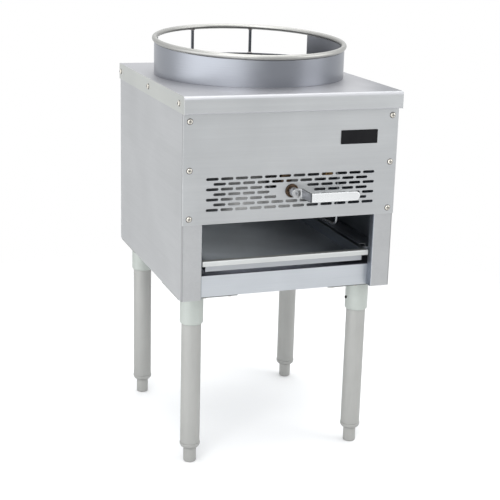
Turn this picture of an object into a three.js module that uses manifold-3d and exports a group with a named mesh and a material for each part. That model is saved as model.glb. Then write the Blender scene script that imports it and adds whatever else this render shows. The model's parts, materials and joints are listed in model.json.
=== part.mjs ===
// Single-burner wok range on four tube legs, in millimetres.
// +X is the cook's right, -Y the front, +Z up.
// While the pieces are made, y = 0 is the face of the front panel and z = 0 the floor.
import * as THREE from "three";
import { mergeVertices } from "three/addons/utils/BufferGeometryUtils.js";
import Module from "manifold-3d";

const wasm = await Module();
wasm.setup();

// ---- driving sizes: sheet-metal body ----
const bodyWidth = 457.2; // over the side panels, 18 in
const bodyDepth = 508; // front panel face to back panel face, 20 in
const bodyBottom = 380;
const sheet = 1.5;
const bend = 3; // outside radius of a fold
const fit = 0.3; // clearance between pieces that touch

// ---- heights, each from the one before ----
const railHeight = 45.5;
const trayRise = 7.5; // rail to the bottom of the tray
const openingHeight = 104; // bottom of the tray to the lower edge of the front panel
const valveRise = 59.7; // lower edge of the front panel to the valve
const topRise = 196.3; // valve to the upper face of the top plate
const manifoldRise = 71.3; // valve to the gas manifold

// ---- top plate ----
const noseReach = 13.4; // front nose ahead of the front panel
const noseRadius = 6.7;
const flangeDrop = 35;
const holeSides = 64;

// ---- wok ring, sloping down to the cook ----
const ringBehindMiddle = 22;
const ringMargin = 23.6; // outside of the wall to the side panel
const ringLedge = 19; // top plate left showing inside the wall
const ringWall = 2;
const ringSides = 60;
const rimRodRadius = 5.5;
const rimRise = 72.4; // rod centre above the top plate, half way back
const rimSlope = 0.06; // rise per millimetre to the rear
const curbHeight = 24.5;
const flueHalfAngle = 60; // degrees each side of straight back
const flueBays = 3; // bays between the posts
const flueRodRadius = 3.5;
const lugThick = 3;
const lugWidth = 16;
const lugDrop = 14;

// ---- fire chamber ----
const chamberDrop = 76.7; // below the valve
const chamberOverlap = 2; // wall outside the hole in the top plate
const chamberSides = 48;
const mixerClearance = 3;

// ---- front panel and its air slots ----
const panelReturn = 14;
const slotLength = 25;
const slotHeight = 4.6;
const slotFieldMargin = 60.85; // outermost slot centre to the side panel
const slotRowPitch = 10.35;
const slotRows = 7;
const slotsInLongRow = 12;
const slotEndSteps = 2;
const valveHoleRadius = 14;
const valveHoleMargin = 12; // bare metal kept around the valve hole

// ---- posts, rails and flanges ----
const postWidth = 43;
const postReturn = 20;
const rearReturn = 20;
const bottomFlange = 30;
const railTopFlange = 30;
const railBottomFlange = 25;

// ---- drip tray and its runners ----
const trayHeight = 24.5;
const trayMargin = 56.1; // side of the tray to the side panel
const trayFront = 22;
const trayRearGap = 28;
const trayLipReach = 11;
const trayLipDrop = 10.7;
const traySideFlange = 9.3;
const trayPlay = 0.6;
const guideGap = 8.7; // sideways, from the tray flange to its guide
const runnerFront = 45;
const runnerRearGap = 23;
const runnerDrop = 20;
const guideLip = 16.5;
const guideRise = 3.4; // clear height over the tray flange

// ---- legs and feet ----
const legInset = 42.1; // leg centre to the side panel
const legFrontInset = 66.5;
const legRearInset = 40.5;
const legTubeRadius = 20.65; // 1 5/8 in tube
const legTubeWall = 1.5;
const legSides = 16;
const legPlate = 126;
const legPlateThick = 4;
const legPlateEdge = 40.1; // leg centre to the plate's outer edges
const legPlateCut = 46;
const collarRadius = 24.3;
const collarDrop = 64;
const collarChamfer = 2.5;
const tubeBottom = 44;
const capRadius = 21.6;
const capBand = 1.6;
const capNeckZ = 33;
const capSpigot = 18;
const footRadius = 13.6;
const footSole = 10;
const footChamfer = 4;
const footStemRadius = 6;
const footStemTop = 80;

// ---- gas train ----
const pipeRadius = 13.35; // 3/4 in pipe
const pipeBore = 10.4;
const pipeMargin = 2; // round the supply pipe where it leaves the body
const manifoldY = 40;
const manifoldInset = 43.6; // capped end to the left side panel
const supplyInset = 21.6;
const elbowRadius = 17;
const elbowSweep = 18;
const elbowReach = 29;
const threadDepth = 13;
const inletStub = 25; // supply pipe behind the back panel
const hangerInset = 78.6;
const hangerThick = 3;
const hangerFoot = 24;
const hangerHeight = 40;
const hangerDepth = 56;
const valveBarrelRadius = 13.2;
const valveBarrelFront = -2;
const valveBarrelLength = 56;
const valveNeckRadius = 12;
const valveNutRadius = 16.5;
const valveNutLength = 12;
const outletRadius = 9;
const outletLength = 6;
const gasWay = 3.2;
const plugFrontRadius = 8.2;
const plugRearRadius = 7.2;
const plugLength = 33;
const plugFrontY = 17;
const stemRadius = 6.6;
const shankRadius = 3.8;
const hubRadius = 9.2;
const hubBack = -5;
const hubLength = 22;
const eyeThick = 7; // flat of the lever round the end of the stem
const eyeReach = 11.5; // stem axis to the first fold
const gripHalfHeight = 8.9;
const gripHalfThick = 4;
const gripY = -38;
const gripDrop = 8;
const gripStart = 26; // second fold
const gripEnd = 122;
const gripTip = 9.5;
const spudRadius = 6;
const spudHex = 9;
const spudLength = 14;
const spudHexLength = 5;
const spudBore = 1.6;

// ---- pilot ----
const pilotX = 87;
const pilotValveDrop = 44; // below the manifold
const pilotBodyRadius = 8;
const pilotBodyLength = 24;
const pilotNeckRadius = 5;
const pilotScrewRadius = 4;
const pilotScrewLength = 9;
const pilotOutletReach = 15;
const pilotSaddle = 15;
const tubeRadius = 2.4;
const tubeBend = 12;
const pilotDropReach = 31; // pilot valve to the tube's drop
const pilotRunDrop = 11; // under the fire chamber
const pilotRise = 44; // tube's rise ahead of the pilot
const pilotClear = 16; // burner head to the pilot
const pilotStandRadius = 5.5;
const pilotStandHeight = 82;
const pilotHoodRadius = 8;
const pilotHoodHeight = 9;
const pilotInletRise = 20;

// ---- burner ----
const burnerDrop = 24.7; // underside below the valve
const bowlRadius = 38;
const bowlHeight = 44;
const headRadius = 82;
const headInner = 44;
const burnerHeight = 84;
const headRim = 16;
const castWall = 4.5;
const capDomeRadius = 30;
const portRadius = 2.2;
const outerPorts = 16;
const domePorts = 6;
const portSides = 5;
const mixerRadius = 20;
const mixerBore = 15;
const bellRadius = 27;
const bellLength = 15;
const shutterTravel = 2.6;
const shutterRadius = 25;
const shutterWindow = 35; // half angle of each air window
const barWidth = 20;
const barThick = 5;
const barSpread = 22;
const barUpturn = 28;

// ---- values worked out from the sizes above ----
const half = bodyWidth / 2;
const railTop = bodyBottom + railHeight;
const trayBottom = railTop + trayRise;
const openingTop = trayBottom + openingHeight;
const valveHeight = openingTop + valveRise;
const bodyTop = valveHeight + topRise;
const manifoldZ = valveHeight + manifoldRise;
const ringCentreY = bodyDepth / 2 + ringBehindMiddle;
const ringRadius = half - ringMargin;
const topHoleRadius = ringRadius - ringLedge;
const chamberRadius = topHoleRadius + chamberOverlap;
const chamberBottom = valveHeight - chamberDrop;
const slotPitch = (2 * (half - slotFieldMargin)) / (slotsInLongRow - 1);
const trayHalfWidth = half - trayMargin;
const trayLength = bodyDepth - trayFront - trayRearGap;
const runnerLength = bodyDepth - runnerFront - runnerRearGap;
const legX = half - legInset;
const legRearY = bodyDepth - legRearInset;
const manifoldLeft = manifoldInset - half;
const supplyX = half - supplyInset;
const hangerX = half - hangerInset;
const pilotValveZ = manifoldZ - pilotValveDrop;
const burnerBottom = valveHeight - burnerDrop;
const headTop = burnerBottom + burnerHeight;
const topUnder = bodyTop - sheet;
const sideTop = topUnder - fit;
const postFace = sheet + fit;
const backInner = bodyDepth - sheet;
const backTop = sideTop - sheet; // clears the inside of the top plate's rear fold
const ringMid = ringRadius - ringWall / 2;
const rimAngle = Math.atan(rimSlope);
// The clear radii inside the flats of the fire chamber and of the hole in the top.
const chamberClear = (chamberRadius - sheet) * Math.cos(Math.PI / chamberSides) - fit;
const holeClear = topHoleRadius * Math.cos(Math.PI / holeSides) - fit;
const ringFoot = bodyTop + fit;
const curbTop = bodyTop + curbHeight;
const railFront = postReturn + fit;
const trayTop = trayBottom + trayHeight;
const trayFlangeEdge = trayHalfWidth + traySideFlange;
const legPlateTop = bodyBottom - fit;
const legPlateUnder = legPlateTop - legPlateThick;
const gripZ = valveHeight - gripDrop;
const barrelRear = valveBarrelFront + valveBarrelLength;
const outletRear = barrelRear + outletLength;
const spudFront = outletRear + fit;
const bellFront = spudFront + spudHexLength + shutterTravel + sheet + 2 * fit;
const plugMiddle = plugFrontY + plugLength / 2;
const supplyRear = bodyDepth + inletStub;
const hubFront = hubBack - hubLength;
const frontmost = gripY - gripHalfThick;
const originY = (frontmost + supplyRear) / 2;

// ---- finishes ----
function finish(colour, roughness, metalness) {
  return new THREE.MeshStandardMaterial({ color: colour, roughness, metalness });
}
const stainless = finish(0xbfc2c4, 0.38, 0.85);
const stainlessTop = finish(0xb9bcc0, 0.34, 0.85);
const stainlessRing = finish(0xa7abb6, 0.32, 0.9);
const brightRod = finish(0xd8d5cc, 0.25, 0.9);
const legSteel = finish(0xb9b9b5, 0.42, 0.8);
const socketSteel = finish(0xc8d0c8, 0.45, 0.75);
const trayInside = finish(0x8c9096, 0.35, 0.85);
const brass = finish(0xa98645, 0.35, 0.9);
const castIron = finish(0x3a3b3d, 0.75, 0.4);
const blackPipe = finish(0x2f3032, 0.6, 0.5);
const chromed = finish(0xe3e4e2, 0.15, 0.95);
const aluminium = finish(0xc3c5c7, 0.35, 0.9);

// ---- solids ----
function solidOf(geometry) {
  const bare = geometry.clone();
  bare.deleteAttribute("normal");
  bare.deleteAttribute("uv");
  const merged = mergeVertices(bare, 1e-4);
  return new wasm.Manifold(new wasm.Mesh({
    numProp: 3,
    vertProperties: new Float32Array(merged.attributes.position.array),
    triVerts: new Uint32Array(merged.index.array),
  }));
}

function geometryOf(solid) {
  const mesh = solid.getMesh();
  const geometry = new THREE.BufferGeometry();
  geometry.setAttribute("position", new THREE.BufferAttribute(mesh.vertProperties, 3));
  geometry.setIndex(new THREE.BufferAttribute(mesh.triVerts, 1));
  return geometry;
}

function joined(...geometries) {
  return geometries.map(solidOf).reduce((sum, next) => sum.add(next));
}

function cutBy(solid, ...geometries) {
  return geometries.map(solidOf).reduce((left, next) => left.subtract(next), solid);
}

function block([x0, x1], [y0, y1], [z0, z1]) {
  const box = new THREE.BoxGeometry(x1 - x0, y1 - y0, z1 - z0);
  return box.translate((x0 + x1) / 2, (y0 + y1) / 2, (z0 + z1) / 2);
}

// A turned piece: profile is [radius, height] pairs, revolved about +Z.
function turned(profile, segments) {
  const points = profile.map(([r, z]) => new THREE.Vector2(r, z));
  const lathe = new THREE.LatheGeometry(points, segments);
  return lathe.rotateX(Math.PI / 2);
}

// The same about +Y; heights become y.
function turnedAlongY(profile, segments) {
  const points = profile.map(([r, y]) => new THREE.Vector2(r, y));
  return new THREE.LatheGeometry(points, segments);
}

function rod(radius, z0, z1, segments) {
  return turned([[0, z0], [radius, z0], [radius, z1], [0, z1]], segments);
}

function rodAlongY(radius, y0, y1, segments) {
  return turnedAlongY([[0, y0], [radius, y0], [radius, y1], [0, y1]], segments);
}

function rodAlongX(radius, x0, x1, segments) {
  return rod(radius, x0, x1, segments).rotateY(Math.PI / 2);
}

function pipe(radius, bore, from, to, segments) {
  return turned([[bore, from], [radius, from], [radius, to], [bore, to], [bore, from]], segments);
}

function shapeOf(points) {
  return new THREE.Shape(points.map(([a, b]) => new THREE.Vector2(a, b)));
}

function slab(shape, thickness, curveSegments = 6) {
  return new THREE.ExtrudeGeometry(shape, { depth: thickness, bevelEnabled: false, curveSegments });
}

// Extrudes a (y, z) outline from x0 to x1.
function alongX(outline, x0, x1) {
  const body = slab(shapeOf(outline), x1 - x0);
  return body.rotateX(Math.PI / 2).rotateZ(Math.PI / 2).translate(x0, 0, 0);
}

// Extrudes an (x, z) outline from y0 to y1.
function alongY(outline, y0, y1) {
  return slab(shapeOf(outline), y1 - y0).rotateX(Math.PI / 2).translate(0, y1, 0);
}

// Extrudes an (x, y) outline from z0 to z1.
function alongZ(outline, z0, z1) {
  return slab(shapeOf(outline), z1 - z0).translate(0, 0, z0);
}

// The outline of a folded sheet. Corners are [a, b, radius]; the metal lies to the
// left of the line through them, and each fold is an arc of that radius.
function folded(corners, thickness, steps = 3, usual = bend) {
  const line = corners.map(([a, b]) => new THREE.Vector2(a, b));
  const along = line.slice(1).map((p, i) => p.clone().sub(line[i]).normalize());
  const leftOf = (d) => new THREE.Vector2(-d.y, d.x);
  const face = [[line[0], leftOf(along[0])]];
  for (let i = 1; i < line.length - 1; i += 1) {
    const before = along[i - 1];
    const after = along[i];
    const turn = Math.atan2(before.cross(after), before.dot(after));
    const radius = corners[i][2] ?? usual;
    const back = radius * Math.tan(Math.abs(turn) / 2);
    const start = line[i].clone().addScaledVector(before, -back);
    const centre = start.clone().addScaledVector(leftOf(before), Math.sign(turn) * radius);
    for (let k = 0; k <= steps; k += 1) {
      const normal = leftOf(before).rotateAround(new THREE.Vector2(), (turn * k) / steps);
      const point = centre.clone().addScaledVector(normal, -Math.sign(turn) * radius);
      face.push([point, normal]);
    }
  }
  face.push([line[line.length - 1], leftOf(along[along.length - 1])]);
  const inner = face.map(([p, n]) => p.clone().addScaledVector(n, thickness)).reverse();
  return [...face.map(([p]) => p), ...inner].map((p) => [p.x, p.y]);
}

// A closed skin through rings of points, with a flat cap at each end.
function lofted(rings) {
  const count = rings[0].length;
  const points = rings.flat();
  const faces = [];
  for (let r = 0; r < rings.length - 1; r += 1) {
    for (let i = 0; i < count; i += 1) {
      const a = r * count + i;
      const b = r * count + ((i + 1) % count);
      faces.push(a, b, b + count, a, b + count, a + count);
    }
  }
  const last = (rings.length - 1) * count;
  for (let i = 1; i < count - 1; i += 1) {
    faces.push(0, i + 1, i, last, last + i, last + i + 1);
  }
  const geometry = new THREE.BufferGeometry().setFromPoints(points);
  geometry.setIndex(faces);
  return geometry;
}

function tubeAlong(curve, radius, sides, steps) {
  const round = new THREE.Shape().absarc(0, 0, radius, 0, 2 * Math.PI, false);
  const options = { steps, bevelEnabled: false, extrudePath: curve, curveSegments: sides / 2 };
  return new THREE.ExtrudeGeometry(round, options);
}

// A round tube through corner points, each corner bent to one radius.
function bentTube(corners, bendRadius, radius, sides, bendSteps = 4) {
  const line = corners.map((corner) => new THREE.Vector3(...corner));
  const along = line.slice(1).map((p, i) => p.clone().sub(line[i]).normalize());
  const stations = [[line[0], along[0]]];
  for (let i = 1; i < line.length - 1; i += 1) {
    const turn = along[i - 1].angleTo(along[i]);
    const axle = along[i - 1].clone().cross(along[i]).normalize();
    const outward = along[i - 1].clone().cross(axle).normalize();
    const centre = line[i].clone()
      .addScaledVector(along[i - 1], -bendRadius * Math.tan(turn / 2))
      .addScaledVector(outward, -bendRadius);
    for (let k = 0; k <= bendSteps; k += 1) {
      const angle = (turn * k) / bendSteps;
      const point = centre.clone()
        .addScaledVector(outward.clone().applyAxisAngle(axle, angle), bendRadius);
      stations.push([point, along[i - 1].clone().applyAxisAngle(axle, angle)]);
    }
  }
  stations.push([line[line.length - 1], along[along.length - 1]]);
  const aside = new THREE.Vector3(0, 1, 0).cross(along[0]).normalize();
  let heading = along[0];
  const rings = stations.map(([point, direction]) => {
    aside.applyQuaternion(new THREE.Quaternion().setFromUnitVectors(heading, direction));
    heading = direction;
    return Array.from({ length: sides }, (_, i) => point.clone().addScaledVector(
      aside.clone().applyAxisAngle(direction, (2 * Math.PI * i) / sides), radius));
  });
  return lofted(rings);
}

// ---- the group, with one named mesh for each piece ----
const range = new THREE.Group();
range.position.y = -originY;

function add(name, shape, material) {
  const geometry = shape.isBufferGeometry ? shape : geometryOf(shape);
  const mesh = new THREE.Mesh(geometry, material);
  mesh.name = name;
  range.add(mesh);
  return mesh;
}

const sides = [["left", -1], ["right", 1]];

// ---- body shell ----
function topPlate() {
  const edge = half + fit + sheet;
  const rear = bodyDepth + fit + sheet;
  const under = bodyTop - flangeDrop;
  const section = [
    [-fit, under], [-noseReach, under], [-noseReach, bodyTop, noseRadius],
    [rear, bodyTop], [rear, under],
  ];
  const skin = folded(section.reverse(), sheet, 5);
  const cheek = [];
  for (let k = 0; k <= 5; k += 1) {
    const angle = Math.PI - (Math.PI / 2) * (k / 5);
    cheek.push([
      -noseReach + noseRadius + noseRadius * Math.cos(angle),
      bodyTop - noseRadius + noseRadius * Math.sin(angle),
    ]);
  }
  cheek.push([rear, bodyTop], [rear, under], [-noseReach, under]);
  const plate = joined(
    alongX(skin, -edge, edge),
    alongX(cheek, -edge, -edge + sheet),
    alongX(cheek, edge - sheet, edge),
  );
  const hole = rod(topHoleRadius, topUnder - sheet, bodyTop + sheet, holeSides);
  return cutBy(plate, hole.translate(0, ringCentreY, 0));
}

function sidePanel(side) {
  const rear = backInner - fit;
  const plan = [
    [half - postWidth, postReturn], [half - postWidth, postFace], [half, postFace],
    [half, rear], [half - rearReturn, rear],
  ];
  const wall = alongZ(folded(plan, sheet), bodyBottom, sideTop);
  const flangeFront = railFront + sheet + fit;
  const flangeRear = rear - sheet;
  const foot = block(
    [half - sheet - bottomFlange, half - sheet / 2], [flangeFront, flangeRear],
    [bodyBottom, bodyBottom + sheet],
  );
  const panel = joined(wall, foot);
  if (side < 0) return panel.mirror([1, 0, 0]);
  const pipeNotch = rodAlongY(pipeRadius + pipeMargin, rear - bend * 2, rear + 1, 24);
  return cutBy(panel, pipeNotch.translate(supplyX, 0, manifoldZ));
}

function slotAt(x, z) {
  const r = slotHeight / 2;
  const straight = slotLength / 2 - r;
  const outline = [];
  for (const end of [1, -1]) {
    for (let k = 0; k <= slotEndSteps; k += 1) {
      const angle = -Math.PI / 2 + (Math.PI * k) / slotEndSteps;
      outline.push([x + end * (straight + r * Math.cos(angle)), z + end * r * Math.sin(angle)]);
    }
  }
  return outline;
}

function slotCentres() {
  const centres = [];
  for (let row = 0; row < slotRows; row += 1) {
    const count = slotsInLongRow - (row % 2);
    const z = valveHeight + ((slotRows - 1) / 2 - row) * slotRowPitch;
    for (let i = 0; i < count; i += 1) {
      const x = (i - (count - 1) / 2) * slotPitch;
      const beyond = Math.max(Math.abs(x) - slotLength / 2, 0);
      const clear = Math.hypot(beyond, z - valveHeight) - valveHoleRadius;
      const inFront = Math.abs(z - valveHeight) < valveHoleRadius + slotHeight / 2;
      if (!(inFront && clear < valveHoleMargin)) centres.push([x, z]);
    }
  }
  return centres;
}

function frontPanel() {
  const edge = half;
  const face = shapeOf([
    [-edge, openingTop], [edge, openingTop], [edge, sideTop], [-edge, sideTop],
  ]);
  for (const [x, z] of slotCentres()) {
    face.holes.push(new THREE.Path(slotAt(x, z).map(([a, b]) => new THREE.Vector2(a, b))));
  }
  const valveHole = new THREE.Path().absarc(0, valveHeight, valveHoleRadius, 0, 2 * Math.PI, true);
  face.holes.push(valveHole);
  const skin = slab(face, sheet, 12).rotateX(Math.PI / 2).translate(0, sheet, 0);
  const inside = half - postWidth - fit;
  const lip = block([-inside, inside], [sheet / 2, panelReturn], [openingTop, openingTop + sheet]);
  return joined(skin, lip);
}

function backPanel() {
  const skin = block([-half, half], [backInner, bodyDepth], [bodyBottom, backTop]);
  const inside = half - sheet - bottomFlange - fit;
  const foot = block(
    [-inside, inside], [backInner - bottomFlange, backInner + sheet / 2],
    [bodyBottom, bodyBottom + sheet],
  );
  const pipeHole = rodAlongY(pipeRadius + fit, backInner - sheet, bodyDepth + sheet, 24);
  return cutBy(joined(skin, foot), pipeHole.translate(supplyX, 0, manifoldZ));
}

function frontRail() {
  const reach = half - sheet - fit;
  const between = half - sheet - bottomFlange - fit;
  const section = [
    [railFront + railTopFlange, railTop], [railFront, railTop], [railFront, bodyBottom],
  ];
  const channel = alongX(folded(section, sheet), -reach, reach);
  const foot = block(
    [-between, between], [railFront + sheet / 2, railFront + railBottomFlange],
    [bodyBottom, bodyBottom + sheet],
  );
  return joined(channel, foot);
}

// ---- wok ring ----
function onRing(radius, degrees) {
  const angle = THREE.MathUtils.degToRad(degrees);
  return [radius * Math.cos(angle), ringCentreY + radius * Math.sin(angle)];
}

function rodHeight(y) {
  return bodyTop + rimRise + rimSlope * (y - ringCentreY);
}

function ringBand() {
  const tall = 2 * rimRise;
  const band = pipe(ringRadius, ringRadius - ringWall, ringFoot, bodyTop + tall, ringSides)
    .translate(0, ringCentreY, 0);
  const above = block([-tall * 3, tall * 3], [-tall * 3, tall * 3], [0, tall])
    .translate(0, 0, -(rimRodRadius + fit))
    .rotateX(rimAngle)
    .translate(0, ringCentreY, bodyTop + rimRise);
  const reach = 2 * ringRadius;
  const from = THREE.MathUtils.degToRad(90 - flueHalfAngle);
  const wedge = alongZ([
    [0, 0], [reach * Math.cos(from), reach * Math.sin(from)],
    [0, reach * 2], [-reach * Math.cos(from), reach * Math.sin(from)],
  ], curbTop, bodyTop + tall).translate(0, ringCentreY, 0);
  return cutBy(solidOf(band), above, wedge).add(joined(...ringLugs()));
}

// Four welded lugs that drop inside the fire chamber and keep the ring in its place.
function ringLugs() {
  const outside = ringRadius - ringWall / 2;
  const inside = Math.sqrt(holeClear ** 2 - (lugWidth / 2) ** 2);
  const profile = [
    [inside - lugThick, ringFoot - lugDrop], [inside, ringFoot - lugDrop], [inside, ringFoot],
    [outside, ringFoot], [outside, ringFoot + lugThick], [inside - lugThick, ringFoot + lugThick],
  ];
  return [0, 1, 2, 3].map((quarter) => alongY(profile, -lugWidth / 2, lugWidth / 2)
    .rotateZ(Math.PI / 4 + (Math.PI / 2) * quarter)
    .translate(0, ringCentreY, 0));
}

function ringRim() {
  const torus = new THREE.TorusGeometry(ringMid, rimRodRadius, 8, ringSides);
  return torus.rotateX(rimAngle).translate(0, ringCentreY, bodyTop + rimRise);
}

function fluePost(index) {
  const bay = (2 * flueHalfAngle) / flueBays;
  const [x, y] = onRing(ringMid, 90 - flueHalfAngle + bay * index);
  const top = rodHeight(y) - rimRodRadius - fit - rimSlope * flueRodRadius;
  return rod(flueRodRadius, curbTop + fit, top, 12).translate(x, y, 0);
}

function chamber() {
  const top = topUnder - fit;
  const inner = chamberRadius - sheet;
  const wall = pipe(chamberRadius, inner, chamberBottom, top, chamberSides)
    .translate(0, ringCentreY, 0);
  const way = rodAlongY(mixerRadius + mixerClearance, 0, ringCentreY, 20)
    .translate(0, 0, valveHeight);
  return cutBy(solidOf(wall), way);
}

// ---- drip tray ----
function trayPan() {
  const pan = block([-trayHalfWidth, trayHalfWidth], [trayFront, trayFront + trayLength],
    [trayBottom, trayTop]);
  const hollow = block([-trayHalfWidth + sheet, trayHalfWidth - sheet],
    [trayFront + sheet, trayFront + trayLength - sheet], [trayBottom + sheet, trayTop + sheet]);
  const bowl = cutBy(solidOf(pan), hollow);
  const flange = block([-trayFlangeEdge, trayFlangeEdge],
    [trayFront, trayFront + trayLength], [trayTop - sheet, trayTop]);
  const well = block([-trayHalfWidth + sheet / 2, trayHalfWidth - sheet / 2],
    [trayFront + sheet / 2, trayFront + trayLength - sheet / 2], [trayBottom, trayTop + sheet]);
  const lipSection = [
    [trayFront + sheet / 2, trayTop], [trayFront - trayLipReach, trayTop],
    [trayFront - trayLipReach, trayTop - trayLipDrop],
  ];
  const lip = alongX(folded(lipSection, sheet), -trayFlangeEdge, trayFlangeEdge);
  return bowl.add(cutBy(solidOf(flange), well)).add(solidOf(lip));
}

function trayRunner(side) {
  const shelfTop = trayTop - sheet - trayPlay;
  const outer = half - sheet - fit;
  const inner = trayHalfWidth + trayPlay + fit;
  const shelf = folded([[inner, shelfTop], [outer, shelfTop], [outer, shelfTop - runnerDrop]]
    .reverse(), sheet);
  const guideX = trayFlangeEdge + guideGap;
  const guideTop = trayTop + guideRise + sheet;
  const guide = folded([
    [guideX + sheet, shelfTop - sheet / 2, bend], [guideX + sheet, guideTop],
    [guideX + sheet - guideLip, guideTop],
  ], sheet);
  const runner = joined(
    alongY(shelf, runnerFront, runnerFront + runnerLength),
    alongY(guide, runnerFront, runnerFront + runnerLength),
  );
  return side > 0 ? runner : runner.mirror([1, 0, 0]);
}

// ---- legs ----
function legSocket(side, end) {
  const edge = legPlateEdge;
  const inner = legPlateEdge - legPlate;
  const outline = [
    [edge, -edge], [edge, -inner], [inner + legPlateCut, -inner],
    [inner, -inner - legPlateCut], [inner, -edge],
  ];
  const plate = alongZ(outline, legPlateUnder, legPlateTop);
  const bore = legTubeRadius + fit;
  const bottom = legPlateUnder - collarDrop;
  const collar = turned([
    [bore, bottom], [collarRadius - collarChamfer, bottom],
    [collarRadius, bottom + collarChamfer], [collarRadius, legPlateUnder + sheet],
    [bore, legPlateUnder + sheet], [bore, bottom],
  ], legSides);
  const solid = joined(plate, collar);
  const turnedSide = side > 0 ? solid : solid.mirror([1, 0, 0]);
  return end < 0 ? turnedSide : turnedSide.mirror([0, 1, 0]);
}

function legTube() {
  return pipe(legTubeRadius, legTubeRadius - legTubeWall, tubeBottom + fit,
    legPlateUnder - fit, legSides);
}

function footCap() {
  const bore = footStemRadius + fit;
  const spigot = legTubeRadius - legTubeWall - fit;
  const shoulder = tubeBottom - capBand;
  const neck = footRadius + fit;
  const dome = [];
  const steps = 3;
  for (let k = 0; k <= steps; k += 1) {
    const angle = (Math.PI / 2) * (k / steps);
    dome.push([
      neck + (capRadius - neck) * Math.cos(angle),
      shoulder - (shoulder - capNeckZ) * Math.sin(angle),
    ]);
  }
  return turned([
    [bore, tubeBottom + capSpigot], [bore, capNeckZ], ...dome.reverse(),
    [capRadius, tubeBottom], [spigot, tubeBottom], [spigot, tubeBottom + capSpigot],
    [bore, tubeBottom + capSpigot],
  ], legSides);
}

function foot() {
  const top = capNeckZ - fit;
  return turned([
    [0, 0], [footSole, 0], [footRadius - 1.2, footChamfer * 0.3], [footRadius, footChamfer],
    [footRadius, top], [footStemRadius, top], [footStemRadius, footStemTop], [0, footStemTop],
  ], legSides);
}

// ---- gas train ----
function manifoldPipe() {
  const run = pipe(pipeRadius, pipeBore, manifoldLeft, supplyX - elbowReach + threadDepth - fit, 20)
    .rotateY(Math.PI / 2)
    .translate(0, manifoldY, manifoldZ);
  const taps = [[0, plugMiddle], [pilotX, manifoldY]].map(([x, y]) =>
    rod(gasWay, manifoldZ - 2 * pipeRadius, manifoldZ, 8).translate(x, y, 0));
  return cutBy(solidOf(run), ...taps);
}

function manifoldCap() {
  const inner = manifoldLeft - fit;
  const outer = inner - sheet * 2;
  const skirt = manifoldLeft + threadDepth;
  const cup = turned([
    [0, outer], [elbowRadius - 1.5, outer], [elbowRadius, outer + 1.5], [elbowRadius, skirt],
    [pipeRadius + fit, skirt], [pipeRadius + fit, inner], [0, inner],
  ], 20);
  return cup.rotateY(Math.PI / 2).translate(0, manifoldY, manifoldZ);
}

function gasElbow() {
  const corner = new THREE.Vector3(supplyX, manifoldY, manifoldZ);
  const left = corner.clone().add(new THREE.Vector3(-elbowReach, 0, 0));
  const rear = corner.clone().add(new THREE.Vector3(0, elbowReach, 0));
  const bendStart = corner.clone().add(new THREE.Vector3(-elbowSweep, 0, 0));
  const bendEnd = corner.clone().add(new THREE.Vector3(0, elbowSweep, 0));
  const route = new THREE.CurvePath();
  route.add(new THREE.LineCurve3(left, bendStart));
  route.add(new THREE.QuadraticBezierCurve3(bendStart, corner, bendEnd));
  route.add(new THREE.LineCurve3(bendEnd, rear));
  const body = tubeAlong(route, elbowRadius, 12, 8);
  const bore = pipeRadius + fit;
  const first = rodAlongX(bore, corner.x - elbowReach - 1, corner.x - elbowReach + threadDepth, 20)
    .translate(0, manifoldY, manifoldZ);
  const second = rodAlongY(bore, corner.y + elbowReach - threadDepth, corner.y + elbowReach + 1, 20)
    .translate(supplyX, 0, manifoldZ);
  const wayStart = left.clone().add(new THREE.Vector3(threadDepth - 1, 0, 0));
  const wayEnd = rear.clone().add(new THREE.Vector3(0, 1 - threadDepth, 0));
  const way = tubeAlong(new THREE.QuadraticBezierCurve3(wayStart, corner, wayEnd), pipeBore, 10, 4);
  return cutBy(solidOf(body), first, second, way);
}

function supplyPipe() {
  const from = manifoldY + elbowReach - threadDepth + fit;
  const tube = turnedAlongY([
    [pipeBore, from], [pipeBore, supplyRear], [pipeRadius, supplyRear], [pipeRadius, from],
    [pipeBore, from],
  ].reverse(), 20);
  return tube.translate(supplyX, 0, manifoldZ);
}

function manifoldHanger(side) {
  const panelBack = sheet + fit;
  const plan = [[hangerX + hangerFoot, panelBack], [hangerX, panelBack], [hangerX, hangerDepth]];
  const angle = folded(plan.reverse(), hangerThick, 2, hangerThick + 1);
  const bracket = alongZ(angle, manifoldZ - hangerHeight / 2, manifoldZ + hangerHeight / 2);
  const hole = rodAlongX(pipeRadius + fit, 0, half, 20).translate(0, manifoldY, manifoldZ);
  const solid = cutBy(solidOf(bracket), hole);
  return side > 0 ? solid : solid.mirror([1, 0, 0]);
}

function valveBody() {
  const barrel = turnedAlongY([
    [0, valveBarrelFront], [valveBarrelRadius, valveBarrelFront],
    [valveBarrelRadius, barrelRear], [outletRadius, barrelRear],
    [outletRadius, outletRear], [0, outletRear],
  ], 24).translate(0, 0, valveHeight);
  const neck = rod(valveNeckRadius, valveHeight, manifoldZ, 12).translate(0, manifoldY, 0);
  const nutTop = manifoldZ - pipeRadius - 2;
  const nut = rod(valveNutRadius, nutTop - valveNutLength, nutTop, 6).translate(0, manifoldY, 0);
  const saddle = rodAlongX(pipeRadius + fit, -valveNutRadius * 2, valveNutRadius * 2, 20)
    .translate(0, manifoldY, manifoldZ);
  const seatRear = plugFrontY + plugLength + fit;
  const seat = turnedAlongY([
    [0, valveBarrelFront - 1], [plugFrontRadius + fit, valveBarrelFront - 1],
    [plugFrontRadius + fit, plugFrontY], [plugRearRadius + fit, seatRear], [0, seatRear],
  ], 20).translate(0, 0, valveHeight);
  const inlet = rod(gasWay, valveHeight, manifoldZ, 8).translate(0, plugMiddle, 0);
  const outlet = rodAlongY(gasWay, plugFrontY, outletRear + 1, 8).translate(0, 0, valveHeight);
  return cutBy(joined(barrel, neck, nut), saddle, seat, inlet, outlet);
}

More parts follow.
